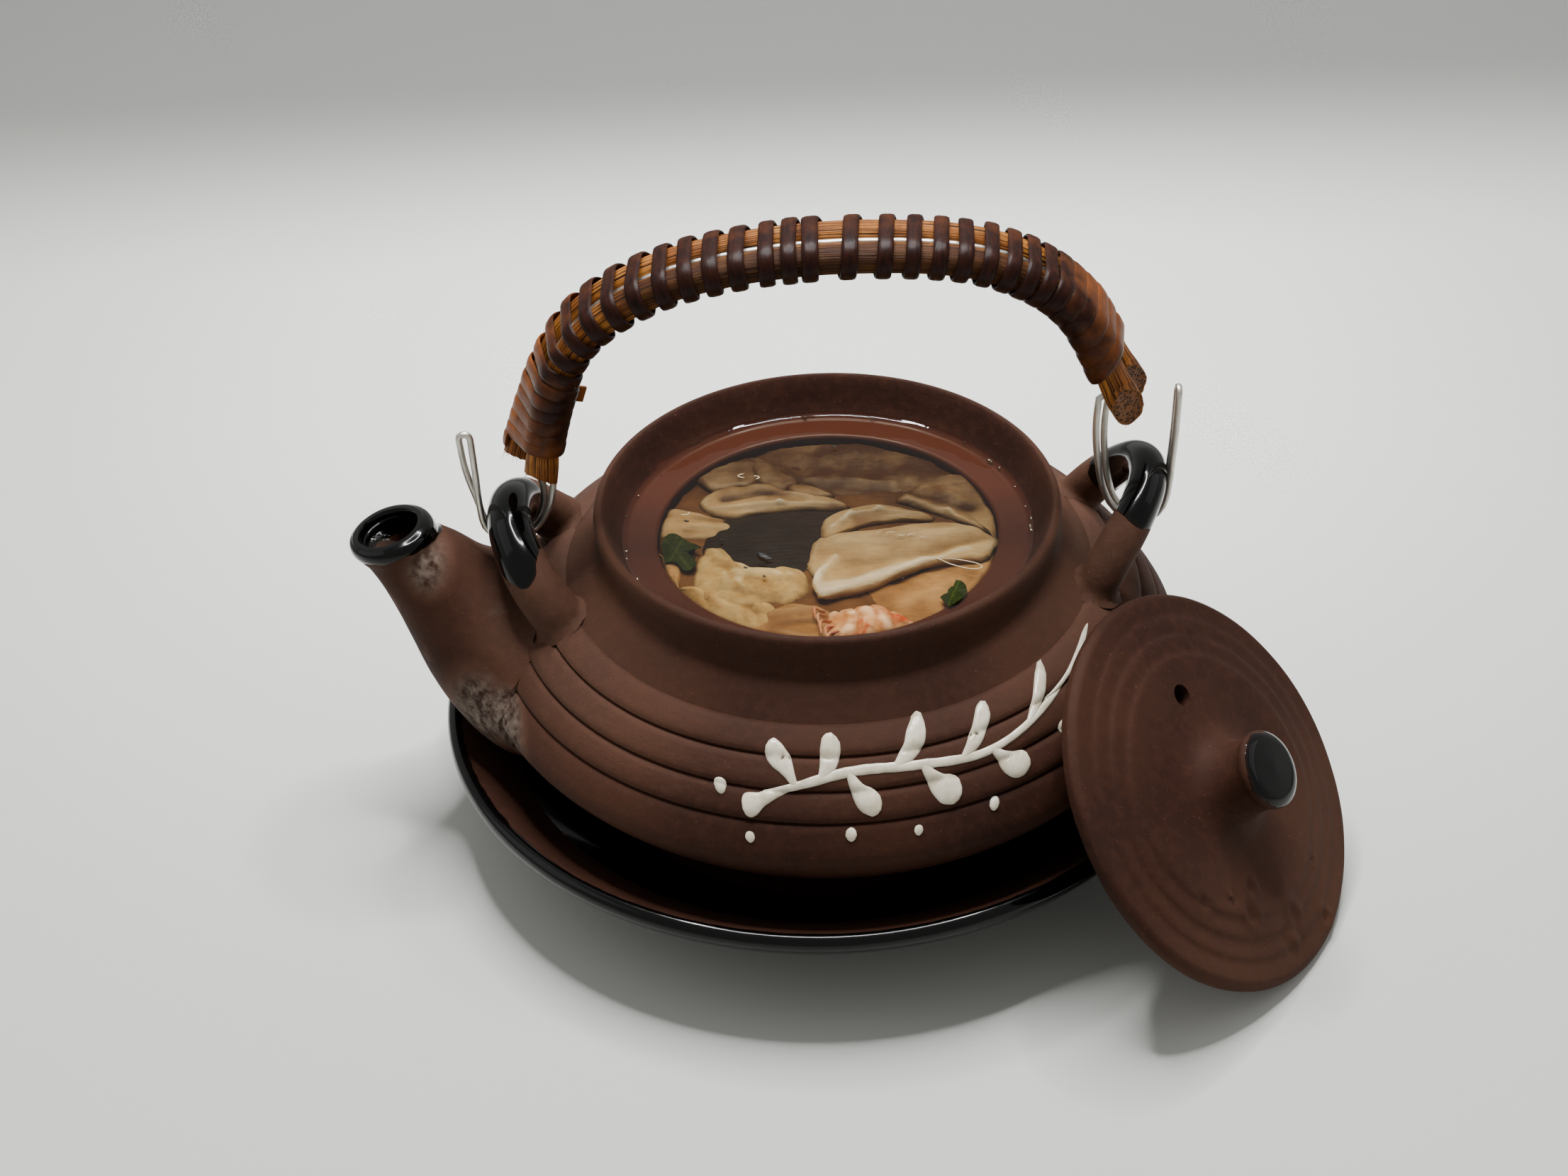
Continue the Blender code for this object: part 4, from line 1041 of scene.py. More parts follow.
def wireStations(shape):
    # the left hook, the run between the canes, the right hook: middle of the pair and the way across it
    stations = []
    for key, side in (("left", -1), ("right", 1)):
        for place in throughPoints(shape[key], 1.6)[0]:
            turn = math.pi / 2 * clamped(place.w)
            stations.append((place.to_3d(), Vector((side * math.sin(turn), math.cos(turn), 0))))
        for number in range(41) if key == "left" else ():
            far = shape["fromEnd"] + (spineLong - 2 * shape["fromEnd"]) * number / 40
            middle, _, out, _ = spineSection(far)
            inward = shape["inward"] * max(0.0, 1 - min(far, spineLong - far) / shape["sink"])
            stations.append((middle - out * inward, out))
    return stations


def makeWire(shape):
    # one closed line: there on one side, round the end, and back on the other
    stations = wireStations(shape)
    loop = []
    for side, line in ((-1, stations), (1, stations[::-1])):
        loop += [middle + spread * shape["apart"] * side for middle, spread in line]
        middle, spread = line[-1]
        ahead = (middle - line[-2][0]).normalized()
        loop += [middle + (ahead * math.sin(a) + spread * side * math.cos(a)) * shape["apart"]
                 for a in shape["bend"]]
    curve = bpy.data.curves.new("wireLine", "CURVE")
    curve.dimensions = "3D"
    curve.bevel_depth = shape["radius"] * mm
    curve.bevel_resolution = 4
    spline = curve.splines.new("POLY")
    spline.points.add(len(loop) - 1)
    spline.use_cyclic_u = True
    for point, place in zip(spline.points, loop):
        point.co = (*(place * mm), 1.0)
    rod = bpy.data.objects.new("wireRod", curve)
    bpy.context.scene.collection.objects.link(rod)
    bm = bmesh.new()
    bm.from_mesh(rod.evaluated_get(bpy.context.evaluated_depsgraph_get()).to_mesh())
    bpy.data.objects.remove(rod)
    bmesh.ops.remove_doubles(bm, verts=bm.verts, dist=1e-6)
    bmesh.ops.recalc_face_normals(bm, faces=bm.faces)
    ridesWith("hookWire", bm, wireSurface, "bail_handle", ["hook_wire"], sharp=60)


makeWire(wireShape)
print("handle done")


# Soup: clear broth, faintly amber, filled just over the ledge

soupShape = {"level": 53.9, "wallR": 35.15, "steps": 160, "rings": 70, "meniscus": 0.45, "reach": 0.55,
             "swell": [(0.05, 6, 6.0), (0.02, 2.2, 8.0)],
             "under": [(35.2, 53.2), (29.3, 52.9), (29.3, 50.1), (31.7, 48.6), (41.2, 44.0), (49.6, 36.8),
                       (54.8, 32.6), (56.6, 29.4), (51.7, 24.3), (44.7, 18.6), (35.6, 13.0), (25.0, 9.8),
                       (0, 9.8)]}
soupLook = {"tint": "#ddb36a", "density": 62.0, "clear": "#fbf6ea", "ripple": 5.0, "ior": 1.34}


def clearBroth(look):
    # see-through from above with a mirror-like skin; the tint grows with depth
    material, add, shader, place = blankMaterial("clearBroth")
    ripple = add("TexNoise", {"Vector": place, "Scale": 1000 / look["ripple"], "Detail": 1.5})
    relief = add("Bump", {"Height": ripple, "Distance": 0.12 * mm, "Strength": 1.0})
    edge = add("Fresnel", {"IOR": look["ior"], "Normal": relief})
    through = add("BsdfTransparent", {"Color": paint(look["clear"])})
    shine = add("BsdfGlossy", {"Color": (1, 1, 1, 1), "Roughness": 0.02, "Normal": relief})
    surface = add("MixShader", {0: edge, 1: through, 2: shine})
    depth = add("VolumeAbsorption", {"Color": paint(look["tint"]), "Density": look["density"]})
    return ownSurface(material, shader, {"Surface": surface, "Volume": depth})


brothSurface = clearBroth(soupLook)


def makeBroth(shape):
    # fills the hollow, with a skin that climbs the wall a little
    top, wall = shape["level"], shape["wallR"]
    rings = [Vector((wall * (step / shape["rings"]), top)) for step in range(shape["rings"] + 1)]
    bm = spunShell(rings + filled([Vector(p) for p in shape["under"]], 3.0), shape["steps"])
    for vert in bm.verts:
        co = vert.co / mm
        if abs(co.z - top) < 1e-4:
            far = co.to_2d().length
            climb = shape["meniscus"] * math.exp(-(wall - far) / shape["reach"])
            swell = sum(high * wave(co, size, seed) for high, size, seed in shape["swell"])
            vert.co.z += (climb + swell * eased(0, 6, wall - far)) * mm
    ridesWith("brothPool", bm, brothSurface, "pot_on_saucer", ["broth"], sharp=80)


def makeSpoutBroth(level):
    # the bore's filling, cut off at the soup's level
    above = bmesh.new()
    bmesh.ops.create_cube(above, size=0.2)
    bmesh.ops.translate(above, verts=above.verts, vec=(0, 0, 0.1 + level * mm))
    bm = carved(makeBore(spoutShape, 0.12), [("DIFFERENCE", looseMesh("aboveTool", above))])
    ridesWith("brothInSpout", bm, brothSurface, "pot_on_saucer", sharp=30)


makeBroth(soupShape)
makeSpoutBroth(soupShape["level"])
print("broth done")


# Food: slices lie flat, cut edges rounded, shapes taken from their outlines seen from above

fleshLook = {"mushroom": {"pale": "#b39b72", "mid": "#987c50", "deep": "#5f4022", "rim": "#cfbf9c", "size": 9.0,
                          "soft": 0.15, "net": 0.9},
             "tan": {"pale": "#a88353", "mid": "#8b6538", "deep": "#5f3c1c", "rim": "#cba878", "size": 7.0,
                     "soft": 0.15, "net": 0.9},
             "fish": {"pale": "#b49c68", "mid": "#947442", "deep": "#684a20", "rim": "#cdb884", "size": 4.0,
                      "soft": 0.2, "net": 1.4},
             "shrimp": {"pale": "#c4976a", "mid": "#b07038", "deep": "#b03c08", "rim": "#f0d4b4", "size": 2.4,
                        "soft": 0.2, "net": 0.7},
             "bed": {"pale": "#74522c", "mid": "#57381a", "deep": "#35200d", "rim": "#74522c", "size": 7.0,
                     "soft": 0.0, "net": 1.1},
             # a dark sheet that paints the shaded depth seen between the pieces
             "depthShade": {"pale": "#241810", "mid": "#1c120b", "deep": "#140c06", "rim": "#241810", "size": 3.0,
                      "soft": 0.0, "net": 1.1}}
fleshFinish = {"soakedAndShaded": "#2a1607", "thread": 0.7, "relief": 0.12, "dullness": 0.5, "sheen": 0.06,
               "scatter": (1.4, 0.7, 0.35)}


def cookedFlesh(name, look, finish=fleshFinish):
    # soft and fibrous, paler at the cut rim with painted highlights on ridges, darker on the skin side and where
    # broth has soaked in, and with painted shade at the sides, the back of the bowl and in creases
    material, add, shader, place = blankMaterial(name)
    clouds = add("TexNoise", {"Vector": place, "Scale": 1000 / look["size"], "Detail": 5.0, "Roughness": 0.62})
    stretched = add("Mapping", {"Vector": place, "Rotation": (0.0, 0.0, 0.42), "Scale": (0.16, 1.0, 1.0)})
    threads = add("TexNoise", {"Vector": stretched, "Scale": 1000 / finish["thread"], "Detail": 3.0})
    cells = add("TexVoronoi", {"Vector": place, "Scale": 1000 / look["net"]}, feature="SMOOTH_F1")
    skin, rim, soakAndShade = (add("Attribute", {}, out="Fac", attribute_name=mark) for mark in ("skin", "paleAndHighlight", "soakAndShade"))
    tone = add("MapRange", {"Value": clouds, 1: 0.36, 2: 0.64})
    colour = paint(look["mid"])
    for share, over in ((tone, look["pale"]), (skin, look["deep"]), (rim, look["rim"])):
        colour = add("Mix", {0: share, 6: colour, 7: paint(over)}, data_type="RGBA")
    fine = add("MapRange", {"Value": threads, 1: 0.32, 2: 0.68, 3: 0.88, 4: 1.06})
    colour = add("Mix", {0: 1.0, 6: colour, 7: fine}, data_type="RGBA", blend_type="MULTIPLY")
    soakAndShadeAmount = add("MapRange", {"Value": clouds, 1: 0.3, 2: 0.7, 3: 1.15, 4: 0.85})
    soakAndShadeAmount = add("Math", {0: soakAndShade, 1: soakAndShadeAmount}, operation="MULTIPLY", use_clamp=True)
    # painted shade: the soaked tone also darkens sides, the back of the bowl and creases
    colour = add("Mix", {0: soakAndShadeAmount, 6: colour, 7: paint(finish["soakedAndShaded"])}, data_type="RGBA")
    height = add("Math", {0: cells, 1: 0.6, 2: threads}, operation="MULTIPLY_ADD")
    relief = add("Bump", {"Height": height, "Distance": finish["relief"] * mm, "Strength": 1.0})
    feed(shader, {"Base Color": colour, "Normal": relief, "Roughness": finish["dullness"],
                  "Specular IOR Level": finish["sheen"], "Subsurface Weight": look["soft"],
                  "Subsurface Radius": finish["scatter"], "Subsurface Scale": mm})
    return material


mushroomFlesh = cookedFlesh("simmeredMushroomFlesh", fleshLook["mushroom"])
tanFlesh = cookedFlesh("brothStainedMushroomFlesh", fleshLook["tan"])
fishFlesh = cookedFlesh("poachedWhiteFish", fleshLook["fish"])
shrimpFlesh = cookedFlesh("poachedShrimp", fleshLook["shrimp"])

sliceShape = {"around": 84, "along": 44, "flat": 0.42, "mouthR": 28.9, "ceiling": 54.35, "fullSoakAndShade": 0.97}
# name, node, level of the top, thickness, slope along x and y, curl of the rim, skin on side, outline
slices = [
    ("bigSlice", "mushroom_slice_1", 53.5, 3.0, 0.01, -0.07, 0.5, 0.25,
     [(-3.5, -5), (-1.8, 0), (2.0, 0.6), (6.3, 1.3), (11.6, 2.5), (16.9, 3.1), (20.4, 3.2), (23.8, 0.7),
      (27.1, -2.3), (28.3, -5.2), (23.2, -8.0), (18.9, -9.8), (14.4, -11.8), (10.8, -13.9), (7.3, -16.3),
      (2.1, -18.0), (-1.6, -19.0), (-3.0, -16), (-2.9, -12.3), (-3.9, -8.6)]),
    ("rolledRim", None, 53.3, 3.0, 0.0, -0.02, 0.3, 0.55,
     [(-1.2, -1.4), (-1.0, 3.2), (1.5, 6.4), (5.1, 8.2), (8.3, 8.8), (11.8, 7.8), (15.3, 6.1), (18.6, 4.2),
      (17.6, 3.0), (13.4, 3.2), (9.9, 2.8), (6.3, 1.9), (2.7, 0.0), (0.2, -1.6)]),
    ("upperRightSlice", "mushroom_slice_2", 53.1, 3.2, 0.03, 0.05, 0.3, 0.8,
     [(11.6, 9.6), (13.9, 12.8), (16.9, 15.1), (20.4, 14.9), (23.8, 12.2), (26.2, 8.3), (27.8, 3.9),
      (28.2, -0.9), (27.8, -3.4), (27.1, -2.2), (23.8, 0.8), (20.5, 3.8), (17.1, 5.8), (14.4, 7.8)]),
    ("topSlice", "mushroom_slice_3", 52.6, 3.4, 0.0, 0.0, 0.2, 0.5,
     [(-8.6, 20.5), (-8.9, 26.2), (-1.9, 28.0), (5.6, 27.6), (13.0, 25.0), (18.6, 21.0), (17.4, 15.8),
      (13.9, 13.1), (11.7, 11.2), (6.7, 11.6), (2.5, 13.0), (-1.1, 15.0), (-4.6, 17.1)]),
    ("upperLeftSlice", "mushroom_slice_4", 53.4, 3.2, 0.0, 0.03, 0.5, 0.55,
     [(-21.1, 10.5), (-18.9, 13.5), (-15.7, 15.2), (-12.5, 15.6), (-9.6, 14.8), (-6.1, 12.8), (-2.2, 11.6),
      (1.3, 10.4), (4.1, 7.9), (0.8, 6.8), (-4.1, 7.2), (-8.3, 6.9), (-12.6, 6.5), (-16.1, 5.8), (-19.0, 6.5),
      (-20.7, 8.0)]),
    ("leftSlice", "mushroom_slice_5", 52.9, 3.6, -0.03, 0.02, 0.2, 0.5,
     [(-26.0, 3.8), (-25.2, 7.0), (-23.2, 8.8), (-20.4, 7.7), (-16.9, 6.2), (-14.9, 4.0), (-15.1, 1.3),
      (-17.6, 0.3), (-21.1, 0.3), (-24.6, 1.0)]),
    ("underSlice", None, 52.3, 2.6, 0.0, 0.0, 0.0, 0.6,
     [(-16.0, 7.6), (-11.2, 8.7), (-7.4, 8.2), (-8.6, 5.9), (-12.0, 4.3), (-15.0, 3.8), (-16.4, 5.8)]),
    ("stemPieceA", None, 52.8, 2.6, 0.0, 0.0, 0.1, 0.1,
     [(-11.4, 21.5), (-9.2, 21.4), (-6.7, 19.0), (-4.9, 16.6), (-6.8, 14.4), (-8.9, 15.1), (-11.3, 17.6)]),
    ("stemPieceB", None, 53.2, 2.2, 0.0, 0.0, 0.1, 0.1,
     [(-6.4, 15.6), (-3.2, 14.6), (-0.4, 13.2), (1.7, 11.5), (-1.2, 11.0), (-4.3, 11.7), (-6.6, 13.2)]),
    ("frilledPiece", None, 53.3, 2.4, 0.0, 0.0, 0.2, 0.0,
     [(-19.6, 16.0), (-16.4, 18.9), (-13.6, 20.8), (-11.3, 21.8), (-11.4, 18.0), (-12.5, 15.2), (-15.7, 14.4),
      (-19.0, 13.6)]),
    ("backRightSlice", None, 52.3, 3.0, 0.0, 0.0, 0.0, 0.5,
     [(14.0, 9.0), (11.0, 13.0), (13.5, 18.5), (18.0, 23.0), (24.5, 18.5), (27.5, 11.0), (28.4, 3.0),
      (22.0, 3.0)]),
    ("lowerRightSlice", None, 52.7, 3.2, 0.0, -0.02, 0.3, 0.15,
     [(6.4, -13.0), (12.0, -8.0), (19.8, -6.0), (26.1, -3.2), (28.2, -6.0), (27.6, -8.3), (26.0, -12.4),
      (22.5, -17.6), (18.9, -21.0), (13.7, -24.6), (9.6, -22.8), (6.3, -16.2)]),
    ("tanPiece", None, 52.9, 3.4, 0.0, 0.0, 0.2, 0.45,
     [(-12.7, -22.7), (-10.2, -20.1), (-7.5, -18.5), (-4.8, -18.7), (-2.1, -19.7), (0.4, -22.1), (-0.9, -24.4),
      (-2.9, -26.8), (-6.0, -28.2), (-9.3, -26.9), (-11.9, -25.0)]),
    ("leftLowPiece", None, 52.6, 3.0, 0.0, 0.0, 0.0, 0.2,
     [(-28.0, -4.6), (-26.0, -4.6), (-24.4, -7.6), (-23.7, -11.2), (-24.8, -13.0), (-26.8, -9.6)]),
]
fishPieces = [
    ("fishPiece", "fish_piece", 53.6, 5.0, 0.0, -0.02, 0.2, 0.1,
     [(-21.8, -4.2), (-20.7, -1.9), (-18.6, -2.0), (-18.0, -4.4), (-15.9, -6.9), (-12.8, -9.2), (-8.7, -9.7),
      (-5.2, -9.4), (-3.3, -11.7), (-3.4, -15.7), (-5.4, -17.9), (-7.5, -19.2), (-10.2, -18.7), (-13.6, -19.1),
      (-17.0, -17.2), (-19.9, -14.9), (-21.6, -10.2)]),
    ("fishFlake", None, 52.7, 4.4, 0.0, 0.0, 0.2, 0.1,
     [(-24.6, -13.7), (-22.8, -12.0), (-19.4, -12.2), (-16.7, -15.3), (-13.7, -17.8), (-10.0, -19.0),
      (-9.6, -22.3), (-12.3, -25.2), (-15.4, -24.2), (-18.8, -21.2), (-22.4, -17.8)]),
]


def outlineRing(points, count, grow=0.0):
    # evenly spaced smooth closed curve; points near the pot's mouth are drawn out to its edge
    knots = [Vector(p) for p in points]
    middle = sum(knots, Vector((0, 0))) / len(knots)
    knots = [p + (p - middle).normalized() * grow for p in knots]
    knots = [p * (1 + (sliceShape["mouthR"] / p.length - 1) * eased(22.5, 26.0, p.length)) for p in knots]
    fine = [curvePoint(*(knots[(at + k) % len(knots)] for k in (-1, 0, 1, 2)), part / 16)
            for at in range(len(knots)) for part in range(16)]
    return evenPlaces(fine + fine[:1], count=count)[0][:-1]


def foldSum(spot, folds):
    # height of the ridges and creases at a place: from x, y, to x, y, half width, height
    return sum(lift * bell((spot - nearestOn(spot, Vector((x0, y0)), Vector((x1, y1)))[0]).length, size)
               for x0, y0, x1, y1, size, lift in folds)


def softBody(ring, along, skin, name, flesh, nodes):
    # a closed lump with its top in the first rows of the tube and its underside in the last
    bm = wrappedTube(len(ring), along, skin, capped=False)
    bmesh.ops.remove_doubles(bm, verts=bm.verts, dist=0.03 * mm)
    bmesh.ops.recalc_face_normals(bm, faces=bm.faces)
    for vert in bm.verts:
        vert.co.z = min(vert.co.z, sliceShape["ceiling"] * mm)
    return ridesWith(name, bm, flesh, "pot_on_saucer", nodes, sharp=70)


def makeSlice(row, flesh, seed, folds=(), flake=0.0, soakedAndShaded=1.0, swelling=1.0):
    name, node, level, thick, slopeX, slopeY, curl, skinShare, outline = row
    flat = sliceShape["flat"]
    ring = outlineRing(outline, sliceShape["around"], 1.6 * eased(53.0, 52.6, level))
    middle = sum(ring, Vector((0, 0))) / len(ring)
    corner = min(0.45, thick / 2 / (sum((p - middle).length for p in ring) / len(ring)))

    def skin(u, v):
        # flat on top, round at the edge, flat below: share of the way out, share of half the thickness
        here = ring[round(u * len(ring)) % len(ring)]
        if min(v, 1 - v) < flat:
            share, high = min(v, 1 - v) / flat * (1 - corner), 1.0 if v < flat else -1.0
        else:
            angle = math.pi / 2 - (v - flat) / (1 - 2 * flat) * math.pi
            share, high = 1 - corner + corner * math.cos(angle), math.sin(angle)
        share = max(share, 0.001)
        ruffle = 1 + 0.035 * share * wave(Vector((here.x, here.y, 3 * high)), 1.6, seed)
        spot = middle + (here - middle) * share * ruffle
        co = spot.to_3d()
        swell = (0.55 * wave(co, 6.5, seed) + 0.22 * wave(co, 2.4, seed + 5)) * swelling
        swell += flake * abs(math.sin(co.x * 1.1 + co.y * 0.5 + 2 * wave(co, 5, seed))) + foldSum(spot, folds)
        rise = slopeX * (spot.x - middle.x) + slopeY * (spot.y - middle.y) + curl * (share ** 3 - 0.3)
        return Vector((*spot, level - thick / 2 + thick / 2 * high * (1 - 0.35 * share ** 2) + rise + swell))

    obj = softBody(ring, sliceShape["along"], skin, name, flesh, [node] if node else ())
    nearest = KDTree(len(ring))
    for number, spot in enumerate(ring):
        nearest.insert((spot.x, spot.y, 0), number)
    nearest.balance()

    def skinSide(co):
        return min(1.0, 0.15 * skinShare + skinShare * eased(0.0, 0.5, wave(co, 6, seed + 3)
                                                             + 0.25 * wave(co, 2, seed)))

    def paleAndHighlight(co):
        # a pale line just inside the edge, and a painted highlight along the ridges
        if co.z <= level - thick / 2:
            return 0.0
        pale = 0.7 * bell(nearest.find((co.x, co.y, 0))[2] - 0.9, 0.5)
        crest = 0.5 * max(0.0, foldSum(co.to_2d(), folds))
        return min(0.85, pale * max(0.0, 0.25 + 0.75 * wave(co, 6, seed)) + crest)

    def soakAndShade(co):
        # darker in low places, with painted shade at the sides, at the back of the bowl and in creases
        gap = nearest.find((co.x, co.y, 0))[2]
        side = 0.5 * (1 - eased(0.0, 1.3, gap)) * eased(0.0, -1.0, co.z - level)
        back = 0.92 * eased(-5, 19, co.y + 0.15 * co.x + 1.5 * wave(co, 8, 1.0))
        low = 0.4 * eased(0.8, 3.2, soupShape["level"] - co.z)
        crease = 1.1 * max(0.0, -foldSum(co.to_2d(), folds))
        return soakedAndShaded * min(sliceShape["fullSoakAndShade"], side + back + low + crease)

    for attribute, rule in (("skin", skinSide), ("paleAndHighlight", paleAndHighlight), ("soakAndShade", soakAndShade)):
        giveAttribute(obj, attribute, rule)


sliceFolds = {"bigSlice": [(1.1, -7.8, -3.4, -15.0, 0.8, 0.9), (2.0, -2.5, 24.0, -1.0, 2.0, 0.5),
                           (-1.0, -18.0, 27.0, -5.0, 1.3, 0.6), (5.0, -9.0, 26.0, -4.2, 2.2, -0.35)],
              "rolledRim": [(0.6, 0.6, 4.0, 4.4, 0.8, 0.6), (4.0, 4.4, 9.0, 5.6, 0.8, 0.6),
                            (9.0, 5.6, 16.0, 4.2, 0.8, 0.5)],
              "upperLeftSlice": [(-19.0, 8.2, -8.0, 8.6, 0.8, 0.6), (-8.0, 8.6, 2.5, 8.0, 0.7, 0.6),
                                 (-17.5, 11.2, -8.0, 12.2, 1.0, -0.35), (-13.0, 13.8, -3.0, 10.8, 0.6, 0.4)],
              "upperRightSlice": [(14.0, 9.0, 21.0, 4.9, 0.8, 0.6), (21.0, 4.9, 27.0, -1.0, 0.8, 0.6),
                                  (15.5, 11.5, 24.5, 6.0, 1.4, -0.35)],
              "leftSlice": [(-24.5, 3.6, -18.0, 3.4, 0.9, 0.3), (-22.5, 6.4, -18.0, 5.4, 0.8, -0.2)],
              "topSlice": [(-3.0, 16.5, 12.0, 14.6, 1.0, 0.6), (-5.0, 21.0, 11.0, 19.5, 1.6, -0.3)],
              "lowerRightSlice": [(11.0, -12.8, 25.5, -6.2, 1.5, -0.6), (12.0, -20.0, 22.0, -13.5, 1.4, 0.4)],
              "tanPiece": [(-10.0, -21.6, -2.5, -20.8, 0.8, 0.5), (-8.0, -24.6, -2.0, -23.6, 0.9, -0.35)],
              "fishPiece": [(-19.5, -7.0, -15.0, -11.0, 1.0, -0.25), (-15.0, -11.5, -5.5, -12.5, 1.2, 0.45),
                            (-18.5, -15.0, -8.5, -17.6, 1.0, -0.35)],
              "fishFlake": [(-22.5, -14.0, -15.0, -21.5, 1.1, 0.4), (-18.5, -14.0, -12.5, -21.0, 0.8, -0.3)]}
stained = ("lowerRightSlice", "tanPiece", "leftLowPiece", "underSlice")
for number, row in enumerate(slices):
    makeSlice(row, tanFlesh if row[0] in stained else mushroomFlesh, 10.0 + number, sliceFolds.get(row[0], ()))
for number, row in enumerate(fishPieces):
    makeSlice(row, fishFlesh, 40.0 + number, sliceFolds[row[0]], flake=0.35)

shrimpShape = {"around": 96, "along": 52, "level": 53.9, "thick": 5.4,
               "outline": [(-1.2, -22.3), (1.0, -20.9), (4.4, -20.2), (8.2, -19.9), (11.4, -21.4), (13.4, -24.2),
                           (13.0, -26.6), (9.6, -28.4), (5.0, -29.4), (0.8, -29.4), (-1.6, -27.2)],
               "grooves": [1.8, 4.6, 7.4, 10.2], "groove": (0.5, 0.42), "legs": 5, "legThick": 0.42}


def makeShrimp(shape):
    # back of the curled tail: plump, with a groove between segments
    ring = outlineRing(shape["outline"], shape["around"])
    middle = sum(ring, Vector((0, 0))) / len(ring)
    deep, wide = shape["groove"]

    def skin(u, v):
        here = ring[round(u * len(ring)) % len(ring)]
        angle = (0.5 - v) * math.pi
        spot = middle + (here - middle) * max(0.001, math.cos(angle)) ** 0.8
        along = spot.x + 0.064 * (spot.y + 25) ** 2
        groove = sum(deep * bell(along - g, wide) for g in shape["grooves"]) if v < 0.5 else 0.0
        lump = 0.3 * wave(Vector((*spot, math.sin(angle))), 3, 4.0)
        return Vector((*spot, shape["level"] + shape["thick"] / 2 * (math.sin(angle) - 1) - groove + lump))

    obj = softBody(ring, shape["along"], skin, "shrimpTail", shrimpFlesh, ["shrimp"])
    giveAttribute(obj, "skin", lambda co: 0.95 * eased(0.1, 0.5, wave(co, 3.2, 7.0) + 0.4 * wave(co, 1.0, 2.0)))
    giveAttribute(obj, "paleAndHighlight", lambda co: 0.7 * eased(0.0, 0.5, wave(co, 2.6, 1.0)))
    giveAttribute(obj, "soakAndShade", lambda co: 0.8 * eased(0.8, 3.5, shape["level"] - co.z))


def makeShrimpLegs(shape):
    # thin bent legs at the tail's left
    legs = []
    for number in range(shape["legs"]):
        start = Vector((-1.4 + 0.5 * number, -22.4 - 1.35 * number, 53.1))
        bend = start + Vector((-1.2 - 0.5 * rng.random(), 0.5 - 0.5 * number, 0.5))
        end = bend + Vector((0.2 - 0.3 * rng.random(), -1.6 - rng.random(), -0.5))
        path = throughPoints([start, bend, end], 0.16)[0]
        count = len(path) - 1

        def skin(u, v):
            thick = shape["legThick"] * (1 - 0.72 * v)
            return path[round(v * count)] + Vector((math.cos(u * math.tau), 0, math.sin(u * math.tau))) * thick

        legs.append(wrappedTube(10, count, skin))
    obj = ridesWith("shrimpLegs", joined(legs), shrimpFlesh, "pot_on_saucer", sharp=70)
    giveAttribute(obj, "skin", lambda co: 0.35 + 0.5 * eased(0.0, 0.4, wave(co, 1.5, 3.0)))
    giveAttribute(obj, "paleAndHighlight", lambda co: 0.2)
    giveAttribute(obj, "soakAndShade", lambda co: 0.0)


makeShrimp(shrimpShape)
makeShrimpLegs(shrimpShape)

# brown scraps, darkened by painted shade, fill the pot under the slices; in the one gap between them a dark grey
# sheet paints the murky, shaded depth
sunkShape = {"bedR": 29, "bedLevel": 52.4, "depthSheetLevel": 52.75, "thick": 3.0, "swelling": 0.25,
             "depthSheet": [(-21, -1), (-17, 6), (-8, 9), (3, 9.5), (7, 3), (2, -6), (-3, -10), (-12, -9), (-19, -6)]}
bedOutline = [(sunkShape["bedR"] * math.cos(0.3 * k), sunkShape["bedR"] * math.sin(0.3 * k)) for k in range(21)]
for name, look, outline, level, seed, soakedAndShaded in (
        ("soupBed", "bed", bedOutline, sunkShape["bedLevel"], 61.0, 0.97),
        ("depthShadeSheet", "depthShade", sunkShape["depthSheet"], sunkShape["depthSheetLevel"], 70.0, 0.0)):
    makeSlice((name, None, level, sunkShape["thick"], 0.0, 0.0, 0.0, 0.5, outline),
              cookedFlesh(name + "Flesh", fleshLook[look]), seed, soakedAndShaded=soakedAndShaded, swelling=sunkShape["swelling"])
print("food done")


# Mitsuba leaf: dark green, thin, serrated, shiny where it floats

leafLook = {"green": "#131f02", "pale": "#253004", "vein": "#38420f", "cell": 1.2, "dullness": 0.6, "sheen": 0.08}


def leafBlade(look):
    material, add, shader, place = blankMaterial("mitsubaLeaf")
    cells = add("TexNoise", {"Vector": place, "Scale": 1000 / look["cell"], "Detail": 3.0})
    vein = add("Attribute", {}, out="Fac", attribute_name="vein")
    tone = add("MapRange", {"Value": cells, 1: 0.35, 2: 0.7})
    colour = paint(look["green"])
    for share, over in ((tone, look["pale"]), (vein, look["vein"])):
        colour = add("Mix", {0: share, 6: colour, 7: paint(over)}, data_type="RGBA")
    relief = add("Bump", {"Height": cells, "Distance": 0.15 * mm, "Strength": 1.0})
    feed(shader, {"Base Color": colour, "Normal": relief, "Roughness": look["dullness"],
                  "Specular IOR Level": look["sheen"]})
    return material


